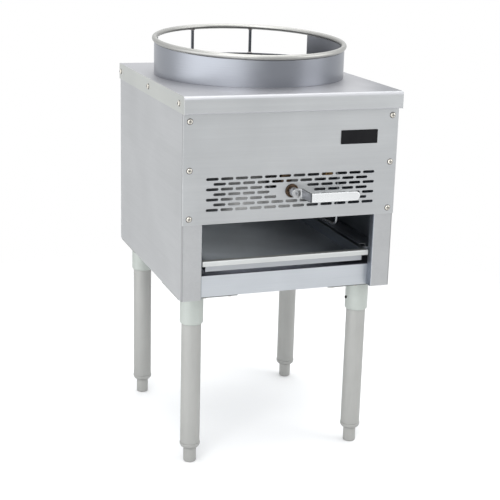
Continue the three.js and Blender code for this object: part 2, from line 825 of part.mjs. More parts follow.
function valvePlug() {
  const core = turnedAlongY([
    [0, hubFront + 1], [shankRadius, hubFront + 1], [shankRadius, hubBack + fit],
    [stemRadius, hubBack + fit], [stemRadius, plugFrontY], [plugFrontRadius, plugFrontY],
    [plugRearRadius, plugFrontY + plugLength], [0, plugFrontY + plugLength],
  ], 16).translate(0, 0, valveHeight);
  const axial = rodAlongY(gasWay, plugMiddle, plugFrontY + plugLength + 1, 8)
    .translate(0, 0, valveHeight);
  const radial = rodAlongX(gasWay, -plugFrontRadius * 2, 0, 8)
    .translate(0, plugMiddle, valveHeight);
  return cutBy(solidOf(core), axial, radial);
}

// One cross-section of the lever: a bar with bevelled corners, its width across a heading.
function leverRing([x, y, z], halfThick, halfHeight, heading) {
  const across = new THREE.Vector3(-Math.sin(heading), Math.cos(heading), 0);
  const side = 0.55;
  const crest = 0.8;
  const corners = [
    [1, crest], [side, 1], [-side, 1], [-1, crest],
    [-1, -crest], [-side, -1], [side, -1], [1, -crest],
  ];
  return corners.map(([a, h]) => new THREE.Vector3(x, y, z)
    .addScaledVector(across, a * halfThick)
    .add(new THREE.Vector3(0, 0, h * halfHeight)));
}

// A round hub with a flat bar that folds forward and down, then runs level as the grip.
function leverHandle() {
  const hub = rodAlongY(hubRadius, hubFront, hubBack, 24).translate(0, 0, valveHeight);
  const eye = [eyeReach, hubFront + eyeThick / 2, valveHeight];
  const grip = [gripStart, gripY, gripZ];
  const heading = Math.atan2(grip[1] - eye[1], grip[0] - eye[0]);
  const mitre = Math.cos(heading / 2);
  const tip = (t) => [gripEnd + gripTip * t, gripY, gripZ];
  const bar = lofted([
    leverRing([0, eye[1], eye[2]], eyeThick / 2, hubRadius, 0),
    leverRing(eye, eyeThick / 2 / mitre, gripHalfHeight, heading / 2),
    leverRing(grip, gripHalfThick / mitre, gripHalfHeight, heading / 2),
    leverRing(tip(0), gripHalfThick, gripHalfHeight, 0),
    leverRing(tip(0.6), gripHalfThick * 0.95, gripHalfHeight * 0.76, 0),
    leverRing(tip(1), gripHalfThick * 0.7, gripHalfHeight * 0.36, 0),
  ]);
  const bore = rodAlongY(shankRadius + fit, hubFront - 1, hubBack + 1, 20)
    .translate(0, 0, valveHeight);
  return cutBy(joined(hub, bar), bore);
}

function orificeSpud() {
  const nozzle = turnedAlongY([
    [0, spudFront], [spudRadius, spudFront], [spudRadius, spudFront + spudLength - 2],
    [spudRadius - 2, spudFront + spudLength], [0, spudFront + spudLength],
  ], 16);
  const hex = rodAlongY(spudHex, spudFront, spudFront + spudHexLength, 6);
  const bore = rodAlongY(spudBore, spudFront - 1, spudFront + spudLength + 1, 8);
  return cutBy(joined(nozzle, hex), bore).translate([0, 0, valveHeight]);
}

// ---- burner ----
function sectorHole(inner, outer, middle, halfAngle) {
  const path = new THREE.Path();
  path.absarc(0, 0, outer, middle - halfAngle, middle + halfAngle, false);
  path.absarc(0, 0, inner, middle + halfAngle, middle - halfAngle, true);
  return path;
}

function airShutter() {
  const disc = new THREE.Shape().absarc(0, 0, shutterRadius, 0, 2 * Math.PI, false);
  const reach = THREE.MathUtils.degToRad(shutterWindow);
  for (const middle of [0, Math.PI]) {
    disc.holes.push(sectorHole(spudHex + 1, mixerRadius, middle, reach));
  }
  const axleHole = new THREE.Path().absarc(0, 0, spudRadius + fit, 0, 2 * Math.PI, true);
  disc.holes.push(axleHole);
  const rear = bellFront - fit;
  const plate = slab(disc, sheet, 6).rotateX(Math.PI / 2).translate(0, rear, 0);
  const tab = block([-4, 4], [rear - sheet, rear], [shutterRadius - 2, shutterRadius + 9]);
  return joined(plate, tab).translate([0, 0, valveHeight]);
}

function portsOnCircle(count, radius, z, tilt, length) {
  const ports = [];
  for (let i = 0; i < count; i += 1) {
    const angle = (2 * Math.PI * i) / count;
    ports.push(rod(portRadius, -length / 2, length / 2, portSides)
      .rotateY(tilt)
      .translate(radius, 0, z)
      .rotateZ(angle)
      .translate(0, ringCentreY, 0));
  }
  return ports;
}

function burnerCasting() {
  const neck = burnerBottom + bowlHeight;
  const rimFoot = headTop - headRim;
  const w = castWall;
  const outer = turned([
    [0, burnerBottom], [bowlRadius - 4, burnerBottom], [bowlRadius, burnerBottom + 4],
    [bowlRadius, neck], [headRadius, rimFoot], [headRadius, headTop - 6],
    [headRadius - 6, headTop], [headInner + 4, headTop], [headInner, headTop - 4],
    [headInner, rimFoot + w], [capDomeRadius, rimFoot + w], [capDomeRadius, headTop - 8],
    [capDomeRadius - 6, headTop - 3], [0, headTop - 3],
  ], 24).translate(0, ringCentreY, 0);
  const inner = turned([
    [0, burnerBottom + w], [bowlRadius - w, burnerBottom + w], [bowlRadius - w, neck],
    [headRadius - w, rimFoot + w / 2], [headRadius - w, headTop - 7],
    [headRadius - 7, headTop - w], [headInner + w, headTop - w], [headInner + w, rimFoot],
    [capDomeRadius - w, rimFoot], [capDomeRadius - w, headTop - 9],
    [capDomeRadius - 8, headTop - 3 - w], [0, headTop - 3 - w],
  ], 16).translate(0, ringCentreY, 0);
  const bellRear = bellFront + bellLength;
  const mixer = turnedAlongY([
    [0, bellFront], [bellRadius, bellFront], [bellRadius, bellFront + 6],
    [mixerRadius, bellRear], [mixerRadius, ringCentreY], [0, ringCentreY],
  ], 20).translate(0, 0, valveHeight);
  const throat = turnedAlongY([
    [0, bellFront - 1], [bellRadius - w, bellFront - 1], [mixerBore, bellRear],
    [mixerBore, ringCentreY], [0, ringCentreY],
  ], 16).translate(0, 0, valveHeight);
  const ports = [
    ...portsOnCircle(outerPorts, headRadius - 3, headTop - 3, Math.PI / 4, 14),
    ...portsOnCircle(domePorts, capDomeRadius * 0.6, headTop - 3, 0, 14),
  ];
  return cutBy(joined(outer, mixer), inner, throat, ...ports);
}

function burnerBar(end) {
  const middle = ringCentreY + end * barSpread;
  const farEdge = barSpread + barWidth / 2;
  const reach = Math.sqrt(chamberClear ** 2 - farEdge ** 2);
  const top = burnerBottom - fit;
  const section = [
    [reach, top - barThick + barUpturn], [reach, top - barThick],
    [-reach, top - barThick], [-reach, top - barThick + barUpturn],
  ];
  const outline = folded(section.reverse(), barThick, 2, barThick + 1);
  return alongY(outline, middle - barWidth / 2, middle + barWidth / 2);
}

// ---- pilot ----
function pilotValve() {
  const body = turnedAlongY([
    [0, manifoldY - pilotBodyLength], [pilotBodyRadius, manifoldY - pilotBodyLength],
    [pilotBodyRadius, manifoldY + pilotBodyRadius], [0, manifoldY + pilotBodyRadius],
  ], 12).translate(pilotX, 0, pilotValveZ);
  const neck = rod(pilotNeckRadius, pilotValveZ, manifoldZ, 10).translate(pilotX, manifoldY, 0);
  const outlet = rodAlongX(pilotNeckRadius, 0, pilotOutletReach, 6)
    .translate(pilotX, manifoldY, pilotValveZ);
  const saddle = rodAlongX(pipeRadius + fit, pilotX - pilotSaddle, pilotX + pilotSaddle, 20)
    .translate(0, manifoldY, manifoldZ);
  const front = manifoldY - pilotBodyLength;
  const well = rodAlongY(pilotScrewRadius + fit, front - 1, front + pilotScrewLength, 12)
    .translate(pilotX, 0, pilotValveZ);
  const inlet = rod(tubeRadius, pilotValveZ, manifoldZ, 6).translate(pilotX, manifoldY, 0);
  const way = rodAlongX(tubeRadius - 1, 0, pilotOutletReach + 1, 6)
    .translate(pilotX, manifoldY, pilotValveZ);
  return cutBy(joined(body, neck, outlet), saddle, well, inlet, way);
}

function pilotScrew() {
  const front = manifoldY - pilotBodyLength;
  const screw = rodAlongY(pilotScrewRadius, front - 2, front + pilotScrewLength - fit, 12);
  const slot = block([-pilotScrewRadius * 2, pilotScrewRadius * 2], [front - 3, front - 0.8],
    [-0.6, 0.6]);
  return cutBy(solidOf(screw), slot).translate([pilotX, 0, pilotValveZ]);
}

function pilotAt() {
  return [headRadius + pilotClear, ringCentreY - barSpread];
}

// From the pilot valve down in front of the chamber, under its edge and up to the pilot.
function pilotTube() {
  const [standX, standY] = pilotAt();
  const dropX = pilotX + pilotDropReach;
  const runZ = chamberBottom - pilotRunDrop;
  const inletZ = burnerBottom + pilotInletRise;
  const corners = [
    [pilotX + pilotOutletReach + fit, manifoldY, pilotValveZ], [dropX, manifoldY, pilotValveZ],
    [dropX, manifoldY, runZ], [standX, standY - pilotRise, runZ],
    [standX, standY - pilotRise, inletZ], [standX, standY - pilotStandRadius - fit, inletZ],
  ];
  return bentTube(corners, tubeBend, tubeRadius, 8);
}

function pilotStand() {
  const foot = burnerBottom;
  const top = foot + pilotStandHeight;
  const post = turned([
    [0, foot], [pilotStandRadius + 3, foot], [pilotStandRadius + 3, foot + 4],
    [pilotStandRadius, foot + 6], [pilotStandRadius, top - pilotHoodHeight],
    [pilotHoodRadius, top - pilotHoodHeight + 2], [pilotHoodRadius, top], [0, top],
  ], 12);
  const well = rod(pilotStandRadius - 2, top - pilotHoodHeight, top + 1, 8);
  return cutBy(solidOf(post), well).translate([...pilotAt(), 0]);
}

// ---- assembly ----
add("top_plate", topPlate(), stainlessTop);
add("front_panel", frontPanel(), stainless);
add("back_panel", backPanel(), stainless);
add("front_rail", frontRail(), stainless);
add("wok_ring", ringBand(), stainlessRing);
add("ring_rim", ringRim(), brightRod);
for (let i = 1; i < flueBays; i += 1) add(`flue_post_${i}`, fluePost(i), stainlessRing);
add("fire_chamber", chamber(), stainlessRing);
add("drip_tray", trayPan(), trayInside);

for (const [name, side] of sides) {
  add(`side_panel_${name}`, sidePanel(side), stainless);
  add(`tray_runner_${name}`, trayRunner(side), stainless);
  add(`manifold_hanger_${name}`, manifoldHanger(side), stainless);
  for (const [place, end, y] of [["front", -1, legFrontInset], ["rear", 1, legRearY]]) {
    const at = [side * legX, y, 0];
    const corner = `${place}_${name}`;
    add(`leg_socket_${corner}`, legSocket(side, end), socketSteel).position.set(...at);
    add(`leg_tube_${corner}`, legTube(), legSteel).position.set(...at);
    add(`foot_cap_${corner}`, footCap(), legSteel).position.set(...at);
    add(`foot_${corner}`, foot(), legSteel).position.set(...at);
  }
}

add("gas_manifold", manifoldPipe(), blackPipe);
add("manifold_cap", manifoldCap(), blackPipe);
add("gas_elbow", gasElbow(), blackPipe);
add("supply_pipe", supplyPipe(), blackPipe);
add("valve_body", valveBody(), brass);
add("valve_plug", valvePlug(), chromed);
add("lever_handle", leverHandle(), chromed);
add("orifice_spud", orificeSpud(), brass);
add("air_shutter", airShutter(), aluminium);
add("burner", burnerCasting(), castIron);
add("burner_bar_front", burnerBar(-1), stainless);
add("burner_bar_rear", burnerBar(1), stainless);
add("pilot_valve", pilotValve(), brass);
add("pilot_screw", pilotScrew(), brass);
add("pilot_tube", pilotTube(), aluminium);
add("pilot_burner", pilotStand(), stainless);

export default range;
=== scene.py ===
import bpy
import bmesh
import json
import math
from mathutils import Matrix, Vector


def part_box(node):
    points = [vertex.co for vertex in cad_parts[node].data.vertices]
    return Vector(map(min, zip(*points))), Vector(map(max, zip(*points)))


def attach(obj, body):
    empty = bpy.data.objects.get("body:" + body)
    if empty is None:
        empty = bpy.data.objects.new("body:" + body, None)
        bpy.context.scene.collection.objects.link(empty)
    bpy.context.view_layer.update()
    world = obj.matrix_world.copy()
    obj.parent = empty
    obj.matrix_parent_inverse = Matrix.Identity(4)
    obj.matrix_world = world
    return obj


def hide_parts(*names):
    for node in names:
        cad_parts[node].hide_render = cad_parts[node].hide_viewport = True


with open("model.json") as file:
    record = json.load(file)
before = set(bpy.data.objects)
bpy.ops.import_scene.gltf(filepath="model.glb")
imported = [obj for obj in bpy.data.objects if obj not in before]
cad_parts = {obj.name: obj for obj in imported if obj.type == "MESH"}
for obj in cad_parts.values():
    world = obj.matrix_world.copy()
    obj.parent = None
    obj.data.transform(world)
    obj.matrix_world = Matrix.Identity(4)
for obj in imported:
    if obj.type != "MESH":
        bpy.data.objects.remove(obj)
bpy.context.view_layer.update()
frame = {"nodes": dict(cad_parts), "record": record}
mm = 0.001
clearance = 0.3 * mm  # the space between pieces that are fitted into each other
square = 0.9  # a face's normal reaches this along an axis when the face is square to it

bodies = frame["record"]["behaviour"]["bodies"]
bodyOfNode = {node: body for body, nodes in bodies.items() for node in nodes}
slotOfNode = {part["node"]: part["material_slot"] for part in frame["record"]["subparts"]}

# places on the frame that the pieces below are set out from
panelLow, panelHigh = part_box("front_panel")
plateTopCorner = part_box("top_plate")[1]
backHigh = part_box("back_panel")[1]
ringLow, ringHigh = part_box("wok_ring")
rimLow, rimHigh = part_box("ring_rim")
stemLow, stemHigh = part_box("valve_plug")
pipeLow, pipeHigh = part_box("supply_pipe")
panelFace = panelLow.y
valveZ = (stemLow.z + stemHigh.z) / 2
ringX, ringY = 0, (ringLow.y + ringHigh.y) / 2
ringAxis = Matrix.Translation((ringX, ringY, 0))
cornerNames = ["front_left", "front_right", "rear_left", "rear_right"]
legCentres = {}
outward = {}  # the signs of the two directions away from the cabinet's middle
for corner in cornerNames:
    footLow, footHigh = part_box("foot_" + corner)
    legCentres[corner] = Vector(((footLow.x + footHigh.x) / 2, (footLow.y + footHigh.y) / 2, 0))
    outward[corner] = (1 if "right" in corner else -1, -1 if "front" in corner else 1)


def addPiece(name, mesh, body, finish, replaced=()):
    mesh.name = name
    piece = bpy.data.objects.new(name, mesh)
    bpy.context.scene.collection.objects.link(piece)
    mesh.materials.append(finishes[finish])
    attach(piece, body)
    if replaced:
        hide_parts(*replaced)
    return piece


def addFinish(piece, finish, belongs):
    # the faces that pass the test get a finish of their own
    mesh = piece.data
    mesh.materials.append(finishes[finish])
    for face in mesh.polygons:
        if belongs(face):
            face.material_index = len(mesh.materials) - 1


def finishMesh(bm, sharpAngle=32):
    bmesh.ops.recalc_face_normals(bm, faces=bm.faces)
    for edge in bm.edges:
        edge.smooth = edge.calc_face_angle(0) < math.radians(sharpAngle)
    for face in bm.faces:
        face.smooth = True
    mesh = bpy.data.meshes.new("mesh")
    bm.to_mesh(mesh)
    bm.free()
    return mesh


def unitCircle(sides):
    angles = [2 * math.pi * i / sides for i in range(sides)]
    return [(math.cos(a), math.sin(a)) for a in angles]


def bridge(bm, low, high):
    # a band of faces between two rings that have as many points
    for i in range(len(low)):
        j = (i + 1) % len(low)
        bm.faces.new((low[i], low[j], high[j], high[i]))


def skinRings(bm, rings, closedPath=False):
    # joins rings of points into one skin; an open run gets a cap at each end
    made = [[bm.verts.new(point) for point in ring] for ring in rings]
    for low, high in zip(made, made[1:]):
        bridge(bm, low, high)
    if closedPath:
        bridge(bm, made[-1], made[0])
    else:
        bm.faces.new(list(reversed(made[0])))
        bm.faces.new(made[-1])


def turnProfile(bm, profile, sides, place):
    # turns (radius, height) pairs round the Z axis of place; radius 0 closes an end
    rows = []
    for radius, height in profile:
        turns = unitCircle(sides) if radius > 0 else [(0, 0)]
        rows.append([bm.verts.new(place @ Vector((c * radius, s * radius, height))) for c, s in turns])
    for low, high in zip(rows, rows[1:]):
        if len(low) == len(high):
            bridge(bm, low, high)
            continue
        for i in range(sides):
            j = (i + 1) % sides
            bm.faces.new((low[0], high[j], high[i]) if len(low) == 1 else (low[i], low[j], high[0]))
    return rows


def turnHollow(bm, profile, sides, place):
    # the same for a closed profile that never reaches the axis
    rows = turnProfile(bm, profile, sides, place)
    bridge(bm, rows[-1], rows[0])


def aimed(point, direction):
    turn = Vector(direction).normalized().to_track_quat("Z", "Y").to_matrix().to_4x4()
    return Matrix.Translation(Vector(point)) @ turn


def eased(points, radius, steps=4):
    # rounds each inner corner of a profile with a short curve that leaves some of either side straight
    out = [points[0]]
    for before, here, after in zip(points, points[1:], points[2:]):
        p0, p1, p2 = Vector(before), Vector(here), Vector(after)
        cut = min(radius, 0.45 * (p0 - p1).length, 0.45 * (p2 - p1).length)
        start = p1 + (p0 - p1).normalized() * cut
        end = p1 + (p2 - p1).normalized() * cut
        for k in range(steps + 1):
            t = k / steps
            out.append(tuple((1 - t) ** 2 * start + 2 * t * (1 - t) * p1 + t ** 2 * end))
    out.append(points[-1])
    return out


def threadRadius(angle, z, radius, pitch, depth):
    roundness = 0.8  # at 1 the grooves would be plain wedges
    phase = (z / pitch - angle / (2 * math.pi)) % 1
    return radius - depth * (1 - abs(2 * phase - 1)) ** roundness


def threadedRows(place, z0, z1, radius, pitch, depth, sides=36, perTurn=6):
    # rings of points along a screw thread, one for every sixth of a pitch; both ends run out
    count = max(2, round((z1 - z0) / pitch * perTurn))
    rows = []
    for k in range(count + 1):
        z = z0 + (z1 - z0) * k / count
        fade = min(1, k / perTurn, (count - k) / perTurn)
        row = []
        for i in range(sides):
            a = 2 * math.pi * i / sides
            r = threadRadius(a, z, radius, pitch, depth * fade)
            row.append(place @ Vector((r * math.cos(a), r * math.sin(a), z)))
        rows.append(row)
    return rows


def dressNode(node, finish, others):
    # a copy of the node, shaded round where it is round and crisp at its folds
    bm = bmesh.new()
    bm.from_mesh(frame["nodes"][node].data)
    bmesh.ops.remove_doubles(bm, verts=bm.verts, dist=0.001 * mm)
    piece = addPiece(node + "_skin", finishMesh(bm), bodyOfNode[node], finish, [node])
    even = piece.modifiers.new("evenNormals", "WEIGHTED_NORMAL")
    even.keep_sharp = True
    even.weight = 100
    for other, belongs in others:
        addFinish(piece, other, belongs)


# shader groups that the finishes share

def newGroup(name, inputs, outputs):
    # the inputs' starting values and the outputs' names tell numbers from vectors
    group = bpy.data.node_groups.new(name, "ShaderNodeTree")
    for label, value in inputs.items():
        kind = "NodeSocketVector" if isinstance(value, tuple) else "NodeSocketFloat"
        socket = group.interface.new_socket(name=label, in_out="INPUT", socket_type=kind)
        socket.default_value = value
    for label in outputs:
        kind = "NodeSocketVector" if label == "Normal" else "NodeSocketFloat"
        group.interface.new_socket(name=label, in_out="OUTPUT", socket_type=kind)
    return group, group.nodes.new("NodeGroupInput"), group.nodes.new("NodeGroupOutput")


def placeOn(tree):
    # the place of each point on its own piece
    return tree.nodes.new("ShaderNodeTexCoord").outputs["Object"]


def joinTo(tree, value, socket):
    if isinstance(value, bpy.types.NodeSocket):
        tree.links.new(value, socket)
    else:
        socket.default_value = value


def mathNode(tree, operation, *values, clamp=False):
    node = tree.nodes.new("ShaderNodeMath")
    node.operation = operation
    node.use_clamp = clamp
    for value, socket in zip(values, node.inputs):
        joinTo(tree, value, socket)
    return node.outputs[0]


def blendNode(tree, first, second, share):
    # adds two values, the first by its share and the second by the rest
    return mathNode(tree, "ADD", mathNode(tree, "MULTIPLY", second, 1 - share),
                    mathNode(tree, "MULTIPLY", first, share))


def vectorNode(tree, operation, first, second):
    node = tree.nodes.new("ShaderNodeVectorMath")
    node.operation = operation
    joinTo(tree, first, node.inputs[0])
    joinTo(tree, second, node.inputs[1])
    return node.outputs["Value"] if operation == "DOT_PRODUCT" else node.outputs["Vector"]


def rangeNode(tree, value, fromLow, fromHigh, low, high, smooth=False):
    node = tree.nodes.new("ShaderNodeMapRange")
    if smooth:
        node.interpolation_type = "SMOOTHSTEP"
    for label, given in (("Value", value), ("From Min", fromLow), ("From Max", fromHigh), ("To Min", low),
                         ("To Max", high)):
        joinTo(tree, given, node.inputs[label])
    return node.outputs["Result"]


def noiseNode(tree, vector, scale, detail=3.0, roughness=0.55, distortion=0.0):
    node = tree.nodes.new("ShaderNodeTexNoise")
    joinTo(tree, vector, node.inputs["Vector"])
    joinTo(tree, scale, node.inputs["Scale"])
    node.inputs["Detail"].default_value = detail
    node.inputs["Roughness"].default_value = roughness
    node.inputs["Distortion"].default_value = distortion
    return node.outputs["Fac"]


def mixColour(tree, factor, first, second):
    node = tree.nodes.new("ShaderNodeMix")
    node.data_type = "RGBA"
    joinTo(tree, factor, node.inputs["Factor"])
    joinTo(tree, first, node.inputs["A"])
    joinTo(tree, second, node.inputs["B"])
    return node.outputs["Result"]


def drawnOut(tree, noise, low):
    # noise stays near its middle, so the part round it is drawn out to run from 0 to 1
    return rangeNode(tree, noise, low, 1 - low, 0.0, 1.0)


def makeDrawnGrain():
    # the fine lines that a belt leaves in sheet steel: Stretch is small along them, large across
    group, given, result = newGroup("drawnGrain", {"Stretch": (14, 900, 900)}, ["Tone", "Height"])
    lines = vectorNode(group, "MULTIPLY", placeOn(group), given.outputs["Stretch"])
    fine = noiseNode(group, lines, scale=1.0, detail=4.0, roughness=0.65)
    broad = noiseNode(group, lines, scale=0.2, detail=2.0)
    tone = drawnOut(group, blendNode(group, broad, fine, 0.4), 0.3)
    group.links.new(tone, result.inputs["Tone"])
    group.links.new(fine, result.inputs["Height"])
    return group


def makeRolledGrain():
    # the same lines drawn round an upright axis, with Lines as their number to the metre of height
    group, given, result = newGroup("rolledGrain", {"Centre": (0, 0, 0), "Lines": 900.0}, ["Tone", "Height"])
    roundAxis = 2.5  # scale of the noise along the lines, for each radian
    split = group.nodes.new("ShaderNodeSeparateXYZ")
    group.links.new(vectorNode(group, "SUBTRACT", placeOn(group), given.outputs["Centre"]), split.inputs[0])
    angle = mathNode(group, "ARCTAN2", split.outputs["Y"], split.outputs["X"])
    joined = group.nodes.new("ShaderNodeCombineXYZ")
    joinTo(group, mathNode(group, "MULTIPLY", angle, roundAxis), joined.inputs["X"])
    joinTo(group, mathNode(group, "MULTIPLY", split.outputs["Z"], given.outputs["Lines"]), joined.inputs["Z"])
    fine = noiseNode(group, joined.outputs[0], scale=1.0, detail=4.0, roughness=0.6)
    group.links.new(drawnOut(group, fine, 0.3), result.inputs["Tone"])
    group.links.new(fine, result.inputs["Height"])
    return group


def makeMottle():
    # even pitting and speckle, for castings, zinc, lacquer and brass
    group, given, result = newGroup("mottle", {"Grain": 400.0, "Patches": 30.0}, ["Tone", "Height"])
    where = placeOn(group)
    fine = noiseNode(group, where, given.outputs["Grain"], detail=4.0, roughness=0.7)
    patches = noiseNode(group, where, given.outputs["Patches"], detail=4.0, roughness=0.6, distortion=0.4)
    tone = drawnOut(group, blendNode(group, patches, fine, 0.55), 0.34)
    group.links.new(tone, result.inputs["Tone"])
    group.links.new(fine, result.inputs["Height"])
    return group


def makeHandling():
    # faint wiping marks and finger haze, with Size as the width of one mark in metres
    group, given, result = newGroup("handling", {"Size": 0.12}, ["Mask"])
    scale = mathNode(group, "DIVIDE", 1.0, given.outputs["Size"])
    haze = noiseNode(group, placeOn(group), scale, detail=5.0, roughness=0.5, distortion=0.7)
    group.links.new(drawnOut(group, haze, 0.32), result.inputs["Mask"])
    return group


def makeRubbedEdges():
    # finds edges, softens the light across them and marks them for a lighter colour: a painted highlight
    # along the edges, which also stands for rub wear
    group, given, result = newGroup("edgeWearAndHighlight", {"Width": 0.7 * mm, "Sharpness": 6.0}, ["Mask", "Normal"])
    soft = group.nodes.new("ShaderNodeBevel")
    soft.samples = 6
    group.links.new(given.outputs["Width"], soft.inputs["Radius"])
    flat = group.nodes.new("ShaderNodeNewGeometry").outputs["Normal"]
    away = mathNode(group, "SUBTRACT", 1.0, vectorNode(group, "DOT_PRODUCT", soft.outputs["Normal"], flat))
    sheenedBase = mathNode(group, "MULTIPLY", away, given.outputs["Sharpness"], clamp=True)
    group.links.new(sheenedBase, result.inputs["Mask"])
    group.links.new(soft.outputs["Normal"], result.inputs["Normal"])
    return group


def makePaintedShade():
    # painted shade that deepens along Axis, from none at Thin to all of it at Thick
    group, given, result = newGroup("paintedShade", {"Axis": (1, 0, 0), "Thin": -0.2, "Thick": 0.2}, ["Mask"])
    where = placeOn(group)
    ragged = 40 * mm  # how far the painted shade's edge strays to either side
    along = vectorNode(group, "DOT_PRODUCT", where, given.outputs["Axis"])
    stray = rangeNode(group, noiseNode(group, where, scale=9.0), 0.0, 1.0, -ragged, ragged)
    mask = rangeNode(group, mathNode(group, "ADD", along, stray), given.outputs["Thin"],
                     given.outputs["Thick"], 0.0, 1.0, smooth=True)
    group.links.new(mask, result.inputs["Mask"])
    return group


hazeShare = 0.45  # how much of a finish's tone comes from handling, the rest being its grain
bumpDepth = 0.3 * mm
drawnGrain = makeDrawnGrain()
rolledGrain = makeRolledGrain()
mottle = makeMottle()
handling = makeHandling()
edgeWearAndHighlight = makeRubbedEdges()
paintedShade = makePaintedShade()


def makeFinish(name, v):
    finish = bpy.data.materials.new(name)
    finish.use_nodes = True
    tree = finish.node_tree
    shader = tree.nodes["Principled BSDF"]

    def place(group, **values):
        node = tree.nodes.new("ShaderNodeGroup")
        node.node_tree = group
        for label, value in values.items():
            node.inputs[label].default_value = value
        return node

    if "stretch" in v:
        surface = place(drawnGrain, Stretch=v["stretch"])
    elif "centre" in v:
        surface = place(rolledGrain, Centre=v["centre"], Lines=v["lines"])
    else:
        surface = place(mottle, Grain=v["grain"], Patches=v["patches"])
    haze = place(handling, Size=v["haze"])
    edges = place(edgeWearAndHighlight, Width=v["edgeWidth"] * mm)
    tone = blendNode(tree, haze.outputs["Mask"], surface.outputs["Tone"], hazeShare)
    base = mixColour(tree, tone, (*v["dark"], 1), (*v["light"], 1))
    # a darker colour laid over part of the surface along an axis: painted shade
    if "paintedShade" in v:
        shadeRamp = place(paintedShade, Axis=v["paintedShadeAxis"], Thin=v["paintedShadeFrom"] * mm, Thick=v["paintedShadeTo"] * mm)
        base = mixColour(tree, shadeRamp.outputs["Mask"], base, (*v["paintedShade"], 1))
    # edges are mixed towards each finish's edge colour, mostly a lighter one: painted highlight along the
    # edges, partly rub wear
    edgeSheenAmount = mathNode(tree, "MULTIPLY", edges.outputs["Mask"], v["edgeWearAndSheen"])
    sheenedBase = mixColour(tree, edgeSheenAmount, base, (*v["edge"], 1))
    tree.links.new(sheenedBase, shader.inputs["Base Color"])
    tree.links.new(rangeNode(tree, tone, 0.0, 1.0, *v["rough"]), shader.inputs["Roughness"])
    shader.inputs["Metallic"].default_value = v["metal"]
    shader.inputs["Specular IOR Level"].default_value = v["specular"]
    bump = tree.nodes.new("ShaderNodeBump")
    bump.inputs["Strength"].default_value = v["bump"]
    bump.inputs["Distance"].default_value = bumpDepth
    tree.links.new(surface.outputs["Height"], bump.inputs["Height"])
    tree.links.new(edges.outputs["Normal"], bump.inputs["Normal"])
    tree.links.new(bump.outputs["Normal"], shader.inputs["Normal"])
    return finish


acrossX = (14, 900, 900)  # the grain runs along X, then along Y and up the tubes
acrossY = (900, 14, 900)
upTube = (700, 700, 30)
